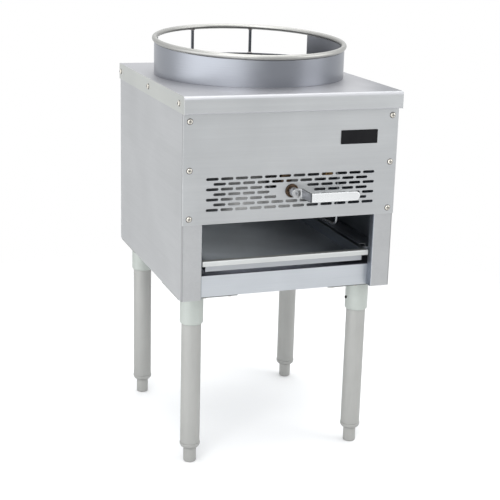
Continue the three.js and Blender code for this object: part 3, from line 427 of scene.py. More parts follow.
# what a finish has where it says nothing else; edgeWidth, paintedShadeFrom and paintedShadeTo are in
# millimetres
usualFinish = {"metal": 1.0, "bump": 0.05, "edgeWearAndSheen": 0.6, "specular": 0.5, "edgeWidth": 0.7}
finishes = {name: makeFinish(name, {**usualFinish, **v}) for name, v in {
    "panelSteel": {
        "dark": (0.53, 0.54, 0.545), "light": (0.62, 0.63, 0.635), "edge": (0.76, 0.77, 0.78),
        "rough": (0.36, 0.46), "stretch": acrossX, "haze": 0.16},
    "sideSteel": {
        "dark": (0.485, 0.49, 0.495), "light": (0.58, 0.585, 0.59), "edge": (0.76, 0.77, 0.78),
        "rough": (0.38, 0.48), "stretch": acrossY, "haze": 0.18},
    # the side panels' front folds, darker than the rest of the sheet: painted shade
    "foldPaintedShade": {
        "dark": (0.29, 0.293, 0.296), "light": (0.34, 0.343, 0.346), "edge": (0.28, 0.28, 0.29),
        "rough": (0.5, 0.6), "stretch": (900, 900, 14), "bump": 0.03, "haze": 0.16, "edgeWearAndSheen": 0.1},
    # dark steel for the cabinet's inside faces, the runners, the tray walls and the slot edges: painted shade
    "insidePaintedShade": {
        "dark": (0.13, 0.145, 0.17), "light": (0.23, 0.25, 0.285), "edge": (0.2, 0.2, 0.21),
        "rough": (0.45, 0.6), "stretch": acrossY, "metal": 0.9, "haze": 0.1, "edgeWearAndSheen": 0.2},
    "railSteel": {
        "dark": (0.585, 0.61, 0.64), "light": (0.67, 0.695, 0.725), "edge": (0.80, 0.83, 0.86),
        "rough": (0.36, 0.46), "stretch": acrossX, "haze": 0.16},
    # the rail's top faces and the gussets, near black: painted shade under the tray
    "railTopPaintedShade": {
        "dark": (0.12, 0.12, 0.14), "light": (0.19, 0.19, 0.22), "edge": (0.3, 0.3, 0.32),
        "rough": (0.4, 0.55), "stretch": acrossX, "haze": 0.1, "edgeWearAndSheen": 0.2},
    "topSteel": {
        "dark": (0.44, 0.44, 0.455), "light": (0.51, 0.51, 0.53), "edge": (0.64, 0.64, 0.66),
        "rough": (0.40, 0.48), "stretch": acrossX, "bump": 0.04, "haze": 0.2, "edgeWearAndSheen": 0.3,
        # darker towards the right front corner: painted shade
        "paintedShade": (0.30, 0.302, 0.318), "paintedShadeAxis": (0.94, -0.341, 0), "paintedShadeFrom": 205, "paintedShadeTo": 278},
    # the top plate's nose and side strips are lighter copies of its steel: painted light; the nose is also
    # rougher
    "nosePaintedLight": {
        "dark": (0.50, 0.505, 0.52), "light": (0.58, 0.585, 0.60), "edge": (0.6, 0.6, 0.61),
        "rough": (0.52, 0.62), "stretch": acrossX, "bump": 0.04, "haze": 0.2, "edgeWearAndSheen": 0.1},
    "stripPaintedLight": {
        "dark": (0.54, 0.55, 0.53), "light": (0.62, 0.63, 0.60), "edge": (0.80, 0.80, 0.78),
        "rough": (0.38, 0.48), "stretch": acrossY, "haze": 0.18},
    "ringSteel": {
        "dark": (0.285, 0.296, 0.325), "light": (0.345, 0.357, 0.39), "edge": (0.6, 0.61, 0.64),
        "rough": (0.26, 0.34), "centre": (ringX, ringY, 0), "lines": 900, "bump": 0.02,
        # darker round most of the ring and lighter only towards its left front: painted shade and painted
        # highlight
        "haze": 0.14, "edgeWearAndSheen": 0.3, "paintedShade": (0.25, 0.26, 0.288), "paintedShadeAxis": (0.883, 0.469, 0),
        "paintedShadeFrom": -150, "paintedShadeTo": -95},
    "rimSteel": {
        "dark": (0.40, 0.397, 0.38), "light": (0.48, 0.477, 0.455), "edge": (0.52, 0.52, 0.50),
        "rough": (0.38, 0.46), "centre": (ringX, ringY, 0), "lines": 500, "bump": 0.02,
        "haze": 0.1, "edgeWearAndSheen": 0.2},
    "legSteel": {
        "dark": (0.355, 0.355, 0.341), "light": (0.41, 0.41, 0.395), "edge": (0.58, 0.58, 0.56),
        "rough": (0.5, 0.6), "stretch": upTube, "bump": 0.06, "metal": 0.35, "haze": 0.1},
    "postSteel": {
        "dark": (0.09, 0.095, 0.105), "light": (0.17, 0.18, 0.195), "edge": (0.3, 0.31, 0.33),
        "rough": (0.3, 0.45), "stretch": upTube, "haze": 0.05, "edgeWearAndSheen": 0.2},
    # a darker copy of the ring's steel for its inward faces: painted shade
    "ringInsidePaintedShade": {
        "dark": (0.185, 0.19, 0.21), "light": (0.24, 0.248, 0.27), "edge": (0.4, 0.41, 0.43),
        "rough": (0.3, 0.4), "centre": (ringX, ringY, 0), "lines": 900, "bump": 0.02,
        "haze": 0.14, "edgeWearAndSheen": 0.3},
    "socketZinc": {
        "dark": (0.445, 0.472, 0.445), "light": (0.51, 0.54, 0.51), "edge": (0.68, 0.73, 0.69),
        "rough": (0.45, 0.6), "grain": 260, "patches": 40, "bump": 0.15, "metal": 0.5, "haze": 0.05},
    # a darker copy of the zinc for the socket plates: painted shade under the cabinet
    "plateZincPaintedShade": {
        "dark": (0.14, 0.15, 0.14), "light": (0.24, 0.25, 0.24), "edge": (0.3, 0.31, 0.3),
        "rough": (0.5, 0.65), "grain": 260, "patches": 40, "bump": 0.2, "metal": 0.5, "haze": 0.05},
    # very light at the left and darkening towards the right: painted reflection and painted shade on the tray
    "trayPaintedReflection": {
        "dark": (0.75, 0.80, 0.85), "light": (0.83, 0.88, 0.93), "edge": (0.76, 0.78, 0.80),
        "rough": (0.34, 0.46), "stretch": acrossX, "haze": 0.12,
        "paintedShade": (0.30, 0.33, 0.37), "paintedShadeAxis": (1, 0, 0), "paintedShadeFrom": -125, "paintedShadeTo": 145},
    # the tray's lip, lighter than the rest of the same sheet: painted light
    "trayLipPaintedLight": {
        "dark": (0.64, 0.65, 0.64), "light": (0.73, 0.74, 0.73), "edge": (0.85, 0.85, 0.85),
        "rough": (0.44, 0.54), "stretch": acrossX, "haze": 0.12},
    # the tray's front wall under the lip, darker and bluer: painted shade
    "panFrontPaintedShade": {
        "dark": (0.45, 0.465, 0.485), "light": (0.53, 0.545, 0.565), "edge": (0.54, 0.55, 0.57),
        "rough": (0.40, 0.50), "stretch": acrossX, "haze": 0.12, "edgeWearAndSheen": 0.2},
    "chamberSteel": {
        "dark": (0.22, 0.22, 0.22), "light": (0.66, 0.655, 0.64), "edge": (0.6, 0.6, 0.6),
        "rough": (0.4, 0.6), "grain": 240, "patches": 15, "haze": 0.05,
        # darker towards the top of the chamber: painted shade
        "paintedShade": (0.14, 0.14, 0.14), "paintedShadeAxis": (0, 0, 1), "paintedShadeFrom": 570, "paintedShadeTo": 640},
    "brass": {
        "dark": (0.22, 0.12, 0.05), "light": (0.52, 0.34, 0.15), "edge": (0.78, 0.60, 0.34),
        "rough": (0.28, 0.45), "grain": 500, "patches": 90, "bump": 0.08, "haze": 0.03},
    "darkBronze": {
        "dark": (0.015, 0.011, 0.009), "light": (0.27, 0.18, 0.12), "edge": (0.3, 0.2, 0.14),
        "rough": (0.3, 0.5), "grain": 300, "patches": 110, "bump": 0.1, "haze": 0.02, "edgeWearAndSheen": 0.3},
    "castIron": {
        "dark": (0.03, 0.03, 0.032), "light": (0.085, 0.083, 0.082), "edge": (0.17, 0.16, 0.16),
        "rough": (0.6, 0.85), "grain": 520, "patches": 60, "bump": 0.6, "metal": 0.4, "haze": 0.02},
    "blackPipe": {
        "dark": (0.015, 0.015, 0.017), "light": (0.035, 0.035, 0.038), "edge": (0.12, 0.12, 0.12),
        "rough": (0.4, 0.6), "grain": 300, "patches": 50, "bump": 0.15, "metal": 0.3, "haze": 0.03},
    "chromed": {
        "dark": (0.90, 0.91, 0.91), "light": (0.97, 0.975, 0.97), "edge": (0.97, 0.97, 0.97),
        "rough": (0.25, 0.29), "grain": 60, "patches": 12, "bump": 0.004, "metal": 0.9, "haze": 0.05,
        "edgeWidth": 0.3},
    # near black with bright streaks, for the lever's bend: painted reflection
    "bendPaintedReflection": {
        "dark": (0.015, 0.016, 0.018), "light": (0.175, 0.18, 0.192), "edge": (0.35, 0.36, 0.37),
        "rough": (0.12, 0.3), "stretch": (40, 40, 260), "bump": 0.1, "haze": 0.01},
    # a darker copy of the chrome for the hub's sides, painted shade, also the lever screw's own steel
    "hubShadeAndScrewSteel": {
        "dark": (0.18, 0.185, 0.20), "light": (0.50, 0.51, 0.53), "edge": (0.3, 0.31, 0.32),
        "rough": (0.2, 0.35), "grain": 500, "patches": 160, "bump": 0.03, "haze": 0.01},
    # a darker copy of the chrome for the eye: painted shade
    "eyePaintedShade": {
        "dark": (0.42, 0.425, 0.43), "light": (0.66, 0.665, 0.67), "edge": (0.75, 0.75, 0.76),
        "rough": (0.22, 0.34), "grain": 300, "patches": 110, "bump": 0.02, "haze": 0.01,
        "edgeWidth": 0.3},
    "aluminium": {
        "dark": (0.30, 0.31, 0.32), "light": (0.42, 0.43, 0.44), "edge": (0.5, 0.5, 0.5),
        "rough": (0.3, 0.45), "grain": 300, "patches": 40, "haze": 0.05},
    "screwSteel": {
        "dark": (0.55, 0.51, 0.45), "light": (0.78, 0.75, 0.68), "edge": (0.9, 0.89, 0.86),
        "rough": (0.16, 0.3), "grain": 700, "patches": 200, "bump": 0.03, "haze": 0.01},
    # near black: painted shade in screw recesses and round screw heads, and the set screws' own black
    "recessShadeAndBlackGrub": {
        "dark": (0.012, 0.011, 0.010), "light": (0.03, 0.028, 0.025), "edge": (0.05, 0.05, 0.05),
        "rough": (0.6, 0.8), "grain": 700, "patches": 200, "metal": 0.2, "haze": 0.01, "edgeWearAndSheen": 0.1},
    "blackPlate": {
        "dark": (0.004, 0.004, 0.005), "light": (0.008, 0.008, 0.009), "edge": (0.05, 0.05, 0.05),
        "rough": (0.5, 0.6), "grain": 900, "patches": 60, "bump": 0.03, "metal": 0.0, "haze": 0.02,
        "specular": 0.15},
    "weldBlue": {
        "dark": (0.25, 0.23, 0.24), "light": (0.42, 0.40, 0.38), "edge": (0.6, 0.58, 0.55),
        "rough": (0.3, 0.5), "grain": 900, "patches": 300, "bump": 0.3, "haze": 0.01},
}.items()}
print("finishes made:", len(finishes))

finishOfSlot = {
    "stainless": "panelSteel", "stainless_top": "topSteel", "ring_steel": "ringSteel",
    "rim_steel": "rimSteel", "leg_steel": "legSteel", "tray_steel": "trayPaintedReflection",
    "socket_zinc": "socketZinc", "brass": "brass", "iron": "castIron", "black_pipe": "blackPipe",
    "chromed": "chromed", "aluminium": "aluminium",
}
finishOfNode = {
    "side_panel_left": "sideSteel", "side_panel_right": "sideSteel", "front_rail": "railSteel",
    # the tray runners are painted dark all over, as shade inside the cabinet
    "tray_runner_left": "insidePaintedShade", "tray_runner_right": "insidePaintedShade",
    "flue_post_1": "postSteel", "flue_post_2": "postSteel",
    "fire_chamber": "chamberSteel", "valve_body": "darkBronze",
}
remodelled = ["front_panel", "wok_ring", "ring_rim", "lever_handle", "supply_pipe", "burner"]
for part in ("leg_socket_", "leg_tube_", "foot_cap_", "foot_"):
    remodelled += [part + corner for corner in cornerNames]
sheetMetal = {
    "postReach": 30 * mm, "lipFold": 6 * mm, "lipReach": 11 * mm,
    # how far a face's normal leans along an axis before the face gets the other finish
    "sideLean": 0.3, "foldLean": 0.1, "noseLean": 0.15, "stripLean": 0.7, "frontLean": 0.99,
    "railLean": 0.5, "lipLean": 0.5,
}


def otherFinishes(node, v):
    # the finishes that some faces of a sheet have apart, each with the test for its faces
    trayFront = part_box("drip_tray")[0].y
    inward = 1 if "left" in node else -1

    # the side panels' inside faces and the backs of their front returns, painted dark as shade
    def insideFace(face):
        postBack = face.normal.y > v["sideLean"] and face.center.y < panelFace + v["postReach"]
        return face.normal.x * inward > v["sideLean"] or postBack

    # the fold faces get the darker copy: painted shade
    def foldFace(face):
        return face.normal.x * inward < -v["foldLean"] and face.normal.y < -v["foldLean"]

    # the tray's side walls, painted dark as shade
    def trayWall(face):
        return abs(face.normal.x) > square and face.normal.x * face.center.x > 0

    def trayLipPaintedLight(face):
        return face.normal.y < v["lipLean"] and face.center.y < trayFront + v["lipReach"]

    def panFrontPaintedShade(face):
        return face.normal.y < -square and face.center.y > trayFront + v["lipFold"]

    if node.startswith("side_panel"):
        return [("insidePaintedShade", insideFace), ("foldPaintedShade", foldFace)]
    # the runners are painted dark as shade; the right one's front end keeps plain steel as a painted
    # highlight
    if node.startswith("tray_runner"):
        return [("sideSteel", lambda face: face.normal.y < -square and face.center.x > 0)]
    if node == "front_rail":
        return [("railTopPaintedShade", lambda face: face.normal.z > v["railLean"])]
    # the top plate's side strips, nose and front face get lighter copies of its steel: painted light
    if node == "top_plate":
        return [("stripPaintedLight", lambda face: abs(face.normal.x) > v["stripLean"]),
                ("nosePaintedLight", lambda face: face.normal.y < -v["noseLean"]),
                ("panelSteel", lambda face: face.normal.y < -v["frontLean"])]
    if node == "drip_tray":
        return [("insidePaintedShade", trayWall), ("trayLipPaintedLight", trayLipPaintedLight), ("panFrontPaintedShade", panFrontPaintedShade)]
    return []


for node in frame["nodes"]:
    if node not in remodelled:
        finish = finishOfNode.get(node, finishOfSlot[slotOfNode[node]])
        dressNode(node, finish, otherFinishes(node, sheetMetal))
print("sheet metal dressed")

railGussets = {
    "alongRail": 100 * mm, "alongSide": 70 * mm, "blunt": 8 * mm, "thickness": 1.5 * mm, "soft": 0.3 * mm,
}


def makeRailGussets(v):
    # a flat corner plate behind each end of the lower rail ties it to the side panel
    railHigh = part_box("front_rail")[1]
    top, soft = railHigh.z, v["soft"]
    levels = [(top - v["thickness"], soft), (top - v["thickness"] + soft, 0), (top - soft, 0), (top, soft)]
    bm = bmesh.new()
    for side in (-1, 1):
        rings = []
        for z, shrink in levels:
            along, deep = v["alongRail"] - shrink, v["alongSide"] - shrink
            outline = [(shrink, shrink), (along, shrink), (along, v["blunt"]), (v["blunt"], deep),
                       (shrink, deep)]
            rings.append([Vector((side * (railHigh.x - x), railHigh.y + y, z)) for x, y in outline])
        skinRings(bm, rings)
    addPiece("rail_gussets", finishMesh(bm), "cabinet", "railTopPaintedShade")


makeRailGussets(railGussets)
print("rail gussets made")

frontPanel = {
    "thickness": 1.5 * mm, "edgeRound": 0.4 * mm, "returnDepth": 14 * mm, "postWidth": 43.3 * mm,
    "slotRows": 7, "slotsInLongRow": 12, "slotLength": 25.4 * mm, "slotHeight": 5.4 * mm,
    "fieldMargin": 60.85 * mm, "rowPitch": 10.35 * mm, "valveHole": 14 * mm, "valveMargin": 12 * mm,
    "fieldHalfHeight": 40 * mm,
}


def slotCentres(v):
    pitch = 2 * (panelHigh.x - v["fieldMargin"]) / (v["slotsInLongRow"] - 1)
    for row in range(v["slotRows"]):
        count = v["slotsInLongRow"] - row % 2
        z = valveZ + ((v["slotRows"] - 1) / 2 - row) * v["rowPitch"]
        for i in range(count):
            x = (i - (count - 1) / 2) * pitch
            beyond = max(abs(x) - v["slotLength"] / 2, 0)
            level = abs(z - valveZ) < v["valveHole"] + v["slotHeight"] / 2
            if not (level and math.hypot(beyond, z - valveZ) - v["valveHole"] < v["valveMargin"]):
                yield x, z


def slotOutline(x, z, v, steps=8):
    r = v["slotHeight"] / 2
    reach = v["slotLength"] / 2 - r
    points = []
    for end in (1, -1):
        for k in range(steps + 1):
            angle = -math.pi / 2 + math.pi * k / steps
            points.append((x + end * (reach + r * math.cos(angle)), z + end * r * math.sin(angle)))
    return points


def punchedSheet(name, outlines, thickness, edgeRound):
    # a flat curve filled between its outlines gives the sheet its round-edged holes
    curve = bpy.data.curves.new(name, "CURVE")
    curve.dimensions = "2D"
    curve.fill_mode = "BOTH"
    curve.extrude = thickness / 2 - edgeRound
    curve.bevel_depth = edgeRound
    curve.bevel_resolution = 2
    curve.offset = -edgeRound
    for outline in outlines:
        line = curve.splines.new("POLY")
        line.points.add(len(outline) - 1)
        for point, (a, b) in zip(line.points, outline):
            point.co = (a, b, 0, 1)
        line.use_cyclic_u = True
    holder = bpy.data.objects.new(name, curve)
    bpy.context.scene.collection.objects.link(holder)
    bpy.context.view_layer.update()
    mesh = bpy.data.meshes.new_from_object(holder.evaluated_get(bpy.context.evaluated_depsgraph_get()))
    bpy.data.objects.remove(holder)
    bpy.data.curves.remove(curve)
    return mesh


def standUp(mesh, y):
    mesh.transform(Matrix.Translation((0, y, 0)) @ Matrix.Rotation(math.pi / 2, 4, "X"))
    return mesh


def makeFrontPanel(v):
    edge, low, high = panelHigh.x, panelLow.z, panelHigh.z
    outlines = [[(-edge, low), (edge, low), (edge, high), (-edge, high)]]
    outlines += [slotOutline(x, z, v) for x, z in slotCentres(v)]
    outlines.append([(v["valveHole"] * c, valveZ + v["valveHole"] * s) for c, s in unitCircle(48)])
    middle = panelFace + v["thickness"] / 2
    bm = bmesh.new()
    sheet = punchedSheet("frontPanelSheet", outlines, v["thickness"], v["edgeRound"])
    bm.from_mesh(standUp(sheet, middle))
    inside = edge - v["postWidth"]
    back = panelFace + v["returnDepth"]
    section = [(middle, low), (back, low), (back, low + v["thickness"]), (middle, low + v["thickness"])]
    skinRings(bm, [[Vector((x, y, z)) for y, z in section] for x in (-inside, inside)])
    punched = addPiece("front_panel_punched", finishMesh(bm), "cabinet", "panelSteel",
                       ["front_panel"])

    def cutEdge(face):
        inField = abs(face.center.x) < inside and abs(face.center.z - valveZ) < v["fieldHalfHeight"]
        return inField and abs(face.normal.y) < square

    addFinish(punched, "insidePaintedShade", cutEdge)  # the cut edges of the slots are painted dark, as the shade inside them


makeFrontPanel(frontPanel)
print("front panel punched")

wokRing = {
    "wall": 2 * mm, "steps": 144, "curb": 24.5 * mm, "flueHalfAngle": 60, "slope": 0.06,
    "lugWidth": 16 * mm, "lugThick": 3 * mm, "lugDrop": 14 * mm, "lugFace": 185 * mm,
    "rodRadius": 5.5 * mm, "rodSides": 20, "postRadius": 3.5 * mm, "bead": 2.2 * mm,
}
rodZ = (rimLow.z + rimHigh.z) / 2


def ringHeight(y, v):
    return rodZ + v["slope"] * (y - ringY)


def makeWokRing(v):
    bm = bmesh.new()
    outer = ringHigh.x
    inner = outer - v["wall"]
    foot = ringLow.z + v["lugDrop"]
    half = math.radians(v["flueHalfAngle"])
    lip = 0.5 * mm

    def section(angle, top):
        across = [(inner, foot), (outer, foot), (outer, top - lip), (outer - lip, top), (inner + lip, top),
                  (inner, top - lip)]
        return [Vector((ringX + math.cos(angle) * r, ringY + math.sin(angle) * r, z)) for r, z in across]

    tall = []
    sweep = 2 * (math.pi - half)
    for k in range(v["steps"] + 1):
        angle = math.pi / 2 + half + sweep * k / v["steps"]
        y = ringY + outer * math.sin(angle)
        tall.append(section(angle, ringHeight(y, v) - v["rodRadius"] - clearance))
    skinRings(bm, tall)
    steps = v["steps"] // 3
    skinRings(bm, [section(math.pi / 2 - half + 2 * half * k / steps, plateTopCorner.z + v["curb"])
                   for k in range(steps + 1)])
    low, near, far = foot - v["lugDrop"], v["lugFace"] - v["lugThick"], v["lugFace"]
    lug = eased([(near, foot + v["lugThick"]), (near, low), (far, low), (far, foot), (inner + lip, foot),
                 (inner + lip, foot + v["lugThick"])], 1 * mm, 3)
    for degrees in (45, 135, 225, 315):
        turn = ringAxis @ Matrix.Rotation(math.radians(degrees), 4, "Z")
        skinRings(bm, [[turn @ Vector((r, side * v["lugWidth"] / 2, z)) for r, z in lug]
                       for side in (-1, 1)])
    wall = addPiece("ring_wall", finishMesh(bm), "ring", "ringSteel", ["wok_ring"])

    def looksInward(face):
        toAxis = face.normal.x * (ringX - face.center.x) + face.normal.y * (ringY - face.center.y)
        return toAxis > inner / 2 and face.center.z > foot

    # the inward faces get the darker copy: painted shade
    addFinish(wall, "ringInsidePaintedShade", looksInward)


def makeRimRod(v):
    bm = bmesh.new()
    tilt = Matrix.Translation((ringX, ringY, rodZ)) @ Matrix.Rotation(math.atan(v["slope"]), 4, "X")
    middle = ringHigh.x - v["wall"] / 2
    across = [(middle + v["rodRadius"] * c, v["rodRadius"] * s) for c, s in unitCircle(v["rodSides"])]
    skinRings(bm, [[tilt @ Vector((r * c, r * s, z)) for r, z in across] for c, s in unitCircle(v["steps"])],
              closedPath=True)
    addPiece("rim_rod", finishMesh(bm, 60), "ring", "rimSteel", ["ring_rim"])


def makePostWelds(v):
    # a small bead at the foot and the head of both posts
    bm = bmesh.new()
    r, b = v["postRadius"], v["bead"]
    bead = [(r - 0.2 * mm, b), (r + b * 0.35, b * 0.6), (r + b * 0.8, b * 0.25), (r + b, 0),
            (r - 0.2 * mm, 0)]
    for node in ("flue_post_1", "flue_post_2"):
        low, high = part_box(node)
        x, y = (low.x + high.x) / 2, (low.y + high.y) / 2
        turnHollow(bm, bead, 20, Matrix.Translation((x, y, low.z - clearance)))
        turnHollow(bm, bead, 20, aimed((x, y, high.z + 0.5 * mm), (0, -v["slope"], -1)))
    addPiece("post_welds", finishMesh(bm, 50), "ring", "weldBlue")


makeWokRing(wokRing)
makeRimRod(wokRing)
makePostWelds(wokRing)
print("wok ring made")

gasLever = {
    "hubRadius": 9.2 * mm, "hubBack": -5 * mm, "hubFront": -27 * mm, "eyeThick": 7 * mm,
    "eyeReach": 11.5 * mm, "gripStart": 26 * mm, "gripY": -38 * mm, "gripDrop": 8 * mm,
    "gripEnd": 131.5 * mm, "halfHeight": 8.9 * mm, "halfThick": 4 * mm,
    "foldRound": 2.5 * mm, "bendReach": 8.4 * mm, "edgeRound": 1.3 * mm,
    "screwRadius": 2.9 * mm, "screwHex": 1.4 * mm,
    "foldSteps": 5, "gripSteps": 4, "tipSteps": 10, "tipTurn": 86,  # the turn in degrees
}


def barSection(centre, heading, halfThick, halfHeight, edgeRound, steps=4):
    across = Vector((-math.sin(heading), math.cos(heading), 0))
    points = []
    for sx, sz, turn in ((1, 1, 0), (-1, 1, 90), (-1, -1, 180), (1, -1, 270)):
        for k in range(steps + 1):
            a = math.radians(turn + 90 * k / steps)
            r = min(edgeRound, halfThick * 0.9, halfHeight * 0.9)
            side = sx * (halfThick - r) + r * math.cos(a)
            up = sz * (halfHeight - r) + r * math.sin(a)
            points.append(centre + across * side + Vector((0, 0, up)))
    return points


def makeGasLever(v):
    eyeY = panelFace + v["hubFront"] + v["eyeThick"] / 2
    gripY = panelFace + v["gripY"]
    bend = v["gripStart"] - v["eyeReach"]
    heading = math.atan2(gripY - eyeY, bend)
    reach = v["foldRound"]
    stations = [(0.0, eyeY, 0.0, 0.0)]  # x, y, share of the way from the eye to the grip, heading
    for foldX, foldY, before, after in ((v["eyeReach"], eyeY, 0.0, heading),
                                        (v["gripStart"], gripY, heading, 0.0)):
        for k in range(v["foldSteps"] + 1):
            t = k / v["foldSteps"]
            back, ahead = (1 - t) ** 2, t ** 2
            x = foldX - back * reach * math.cos(before) + ahead * reach * math.cos(after)
            y = foldY - back * reach * math.sin(before) + ahead * reach * math.sin(after)
            share = min(max((x - v["eyeReach"]) / bend, 0), 1)
            stations.append((x, y, share, before + (after - before) * t))
    grip = v["gripEnd"] - v["halfHeight"]
    for k in range(1, v["gripSteps"] + 1):
        stations.append((v["gripStart"] + (grip - v["gripStart"]) * k / v["gripSteps"], gripY, 1.0, 0.0))
    rings = []
    for x, y, share, turn in stations:
        thick = (v["eyeThick"] / 2) * (1 - share) + v["halfThick"] * share
        centre = Vector((x, y, valveZ - v["gripDrop"] * share))
        rings.append(barSection(centre, turn, thick, v["halfHeight"], v["edgeRound"]))
    for k in range(1, v["tipSteps"] + 1):
        a = math.radians(v["tipTurn"] * k / v["tipSteps"])
        centre = Vector((grip + v["halfHeight"] * math.sin(a), gripY, valveZ - v["gripDrop"]))
        rings.append(barSection(centre, 0, v["halfThick"], v["halfHeight"] * math.cos(a), v["edgeRound"]))
    bm = bmesh.new()
    skinRings(bm, rings)
    length = v["hubBack"] - v["hubFront"]
    wide, sunk = v["hubRadius"], v["screwRadius"] + 0.5 * mm
    profile = eased([(0, 0), (wide, 0), (wide, length), (sunk + 0.1 * mm, length), (sunk, length - 1 * mm),
                     (0, length - 1 * mm)], 0.8 * mm)
    turnProfile(bm, profile, 48, aimed((0, panelFace + v["hubBack"], valveZ), (0, -1, 0)))
    lever = addPiece("lever_bar", finishMesh(bm, 36), "gas_lever", "chromed", ["lever_handle"])
    eyeEnd = v["eyeReach"] + v["foldRound"]
    eyeBack = panelFace + v["hubFront"] + v["eyeThick"] + clearance

    def inBend(face):
        return abs(face.center.x - (v["eyeReach"] + v["gripStart"]) / 2) < v["bendReach"]

    # the hub's sides and the eye get darker copies of the chrome: painted shade
    def onHub(face):
        return face.center.x < eyeEnd and face.center.y > eyeBack and not inBend(face)

    def onEye(face):
        return face.center.x < eyeEnd and face.center.y <= eyeBack and not inBend(face)

    # the bend between the eye and the grip is painted dark with streaks: painted reflection
    addFinish(lever, "bendPaintedReflection", inBend)
    addFinish(lever, "hubShadeAndScrewSteel", onHub)
    addFinish(lever, "eyePaintedShade", onEye)

    bm = bmesh.new()
    rim, hexRadius = v["screwRadius"], v["screwHex"]
    head = [(rim, -1 * mm), (rim, 0.3 * mm), (rim - 0.4 * mm, 0.7 * mm), (hexRadius + 0.3 * mm, 0.7 * mm)]
    place = aimed((0, panelFace + v["hubFront"], valveZ), (0, -1, 0))
    rows = turnProfile(bm, head, 36, place)
    well = turnProfile(bm, [(hexRadius, 0.5 * mm), (hexRadius, -1.2 * mm), (0, -1.6 * mm)], 36, place)
    bridge(bm, rows[-1], well[0])
    screw = addPiece("lever_screw", finishMesh(bm), "gas_lever", "hubShadeAndScrewSteel")
    # the hex well is painted dark: painted shade
    addFinish(screw, "recessShadeAndBlackGrub",
              lambda face: math.hypot(face.center.x, face.center.z - valveZ) < hexRadius)


makeGasLever(gasLever)
print("lever made")

legs = {
    "tubeRadius": 20.65 * mm, "tubeWall": 1.5 * mm, "collarRadius": 24.3 * mm, "collarChamfer": 2.5 * mm,
    "plateEdge": 40.1 * mm, "plateSize": 126 * mm, "plateCut": 46 * mm, "plateThick": 4 * mm,
    "capRadius": 21.6 * mm, "capNeck": 13.9 * mm, "capBand": 1.6 * mm, "footRadius": 13.6 * mm,
    "soleRound": 3.4 * mm, "stemRadius": 6 * mm, "threadPitch": 1.75 * mm, "threadDepth": 0.9 * mm,
    "sides": 64, "plateSoft": 0.5 * mm, "fillet": 3 * mm, "filletSteps": 5, "domeSteps": 8,
}


def makeSocket(corner, v):
    # a square plate with one corner cut, and the round collar that the leg goes into
    centre = legCentres[corner]
    collarFoot, plateTop = (end.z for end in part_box("leg_socket_" + corner))
    plateUnder = plateTop - v["plateThick"]
    sx, sy = outward[corner]
    soft, far = v["plateSoft"], v["plateEdge"] - v["plateSize"]
    e, cut = v["plateEdge"], far + v["plateCut"]
    bm = bmesh.new()
    rings = []
    for z, shrink in ((plateUnder, soft), (plateUnder + soft, 0), (plateTop - soft, 0), (plateTop, soft)):
        outline = [(x - math.copysign(shrink, x), y - math.copysign(shrink, y))
                   for x, y in ((e, e), (far, e), (far, cut), (cut, far), (e, far))]
        rings.append([centre + Vector((sx * x, sy * y, z)) for x, y in outline])
    skinRings(bm, rings)
    bore, r = v["tubeRadius"] + clearance, v["collarRadius"]
    chamfer, fillet = v["collarChamfer"], v["fillet"]
    collar = [(bore, collarFoot), (r - chamfer, collarFoot), (r - 0.3 * chamfer, collarFoot + 0.6 * chamfer),
              (r, collarFoot + 1.4 * chamfer)]
    for k in range(v["filletSteps"], -1, -1):
        a = math.pi / 2 * k / v["filletSteps"]
        collar.append((r + fillet * (1 - math.sin(a)), plateUnder - fillet * (1 - math.cos(a))))
    collar += [(r + fillet, plateUnder + 1 * mm), (bore, plateUnder + 1 * mm)]
    turnHollow(bm, collar, v["sides"], Matrix.Translation(centre))
    socket = addPiece("socket_" + corner, finishMesh(bm), "cabinet", "socketZinc",
                      ["leg_socket_" + corner])
    # the plate gets the darker copy: painted shade
    addFinish(socket, "plateZincPaintedShade", lambda face: face.center.z > plateUnder - 0.1 * mm)


def makeLegTube(corner, v):
    low, high = (end.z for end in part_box("leg_tube_" + corner))
    outer, inner = v["tubeRadius"], v["tubeRadius"] - v["tubeWall"]
    bm = bmesh.new()
    turnHollow(bm, [(inner, low), (outer, low), (outer, high), (inner, high)], v["sides"],
               Matrix.Translation(legCentres[corner]))
    addPiece("leg_" + corner, finishMesh(bm), "cabinet", "legSteel", ["leg_tube_" + corner])


def makeFootCap(corner, v):
    # a domed cap with a neck; its band closes the tube and its plug goes up inside
    low, high = (end.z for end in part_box("foot_cap_" + corner))
    bore, neck, wide = v["stemRadius"] + clearance, v["capNeck"], v["capRadius"]
    plug = v["tubeRadius"] - v["tubeWall"] - clearance
    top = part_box("leg_tube_" + corner)[0].z - clearance
    shoulder = top - v["capBand"]
    cap = [(bore, low)]
    for k in range(v["domeSteps"] + 1):
        a = math.pi / 2 * k / v["domeSteps"]
        cap.append((neck + (wide - neck) * math.sin(a), shoulder - (shoulder - low) * math.cos(a)))
    cap += [(wide, top - 0.3 * mm), (wide - 0.3 * mm, top), (plug, top), (plug, high), (bore, high)]
    bm = bmesh.new()
    turnHollow(bm, cap, v["sides"], Matrix.Translation(legCentres[corner]))
    addPiece("cap_" + corner, finishMesh(bm, 40), "cabinet", "legSteel", ["foot_cap_" + corner])


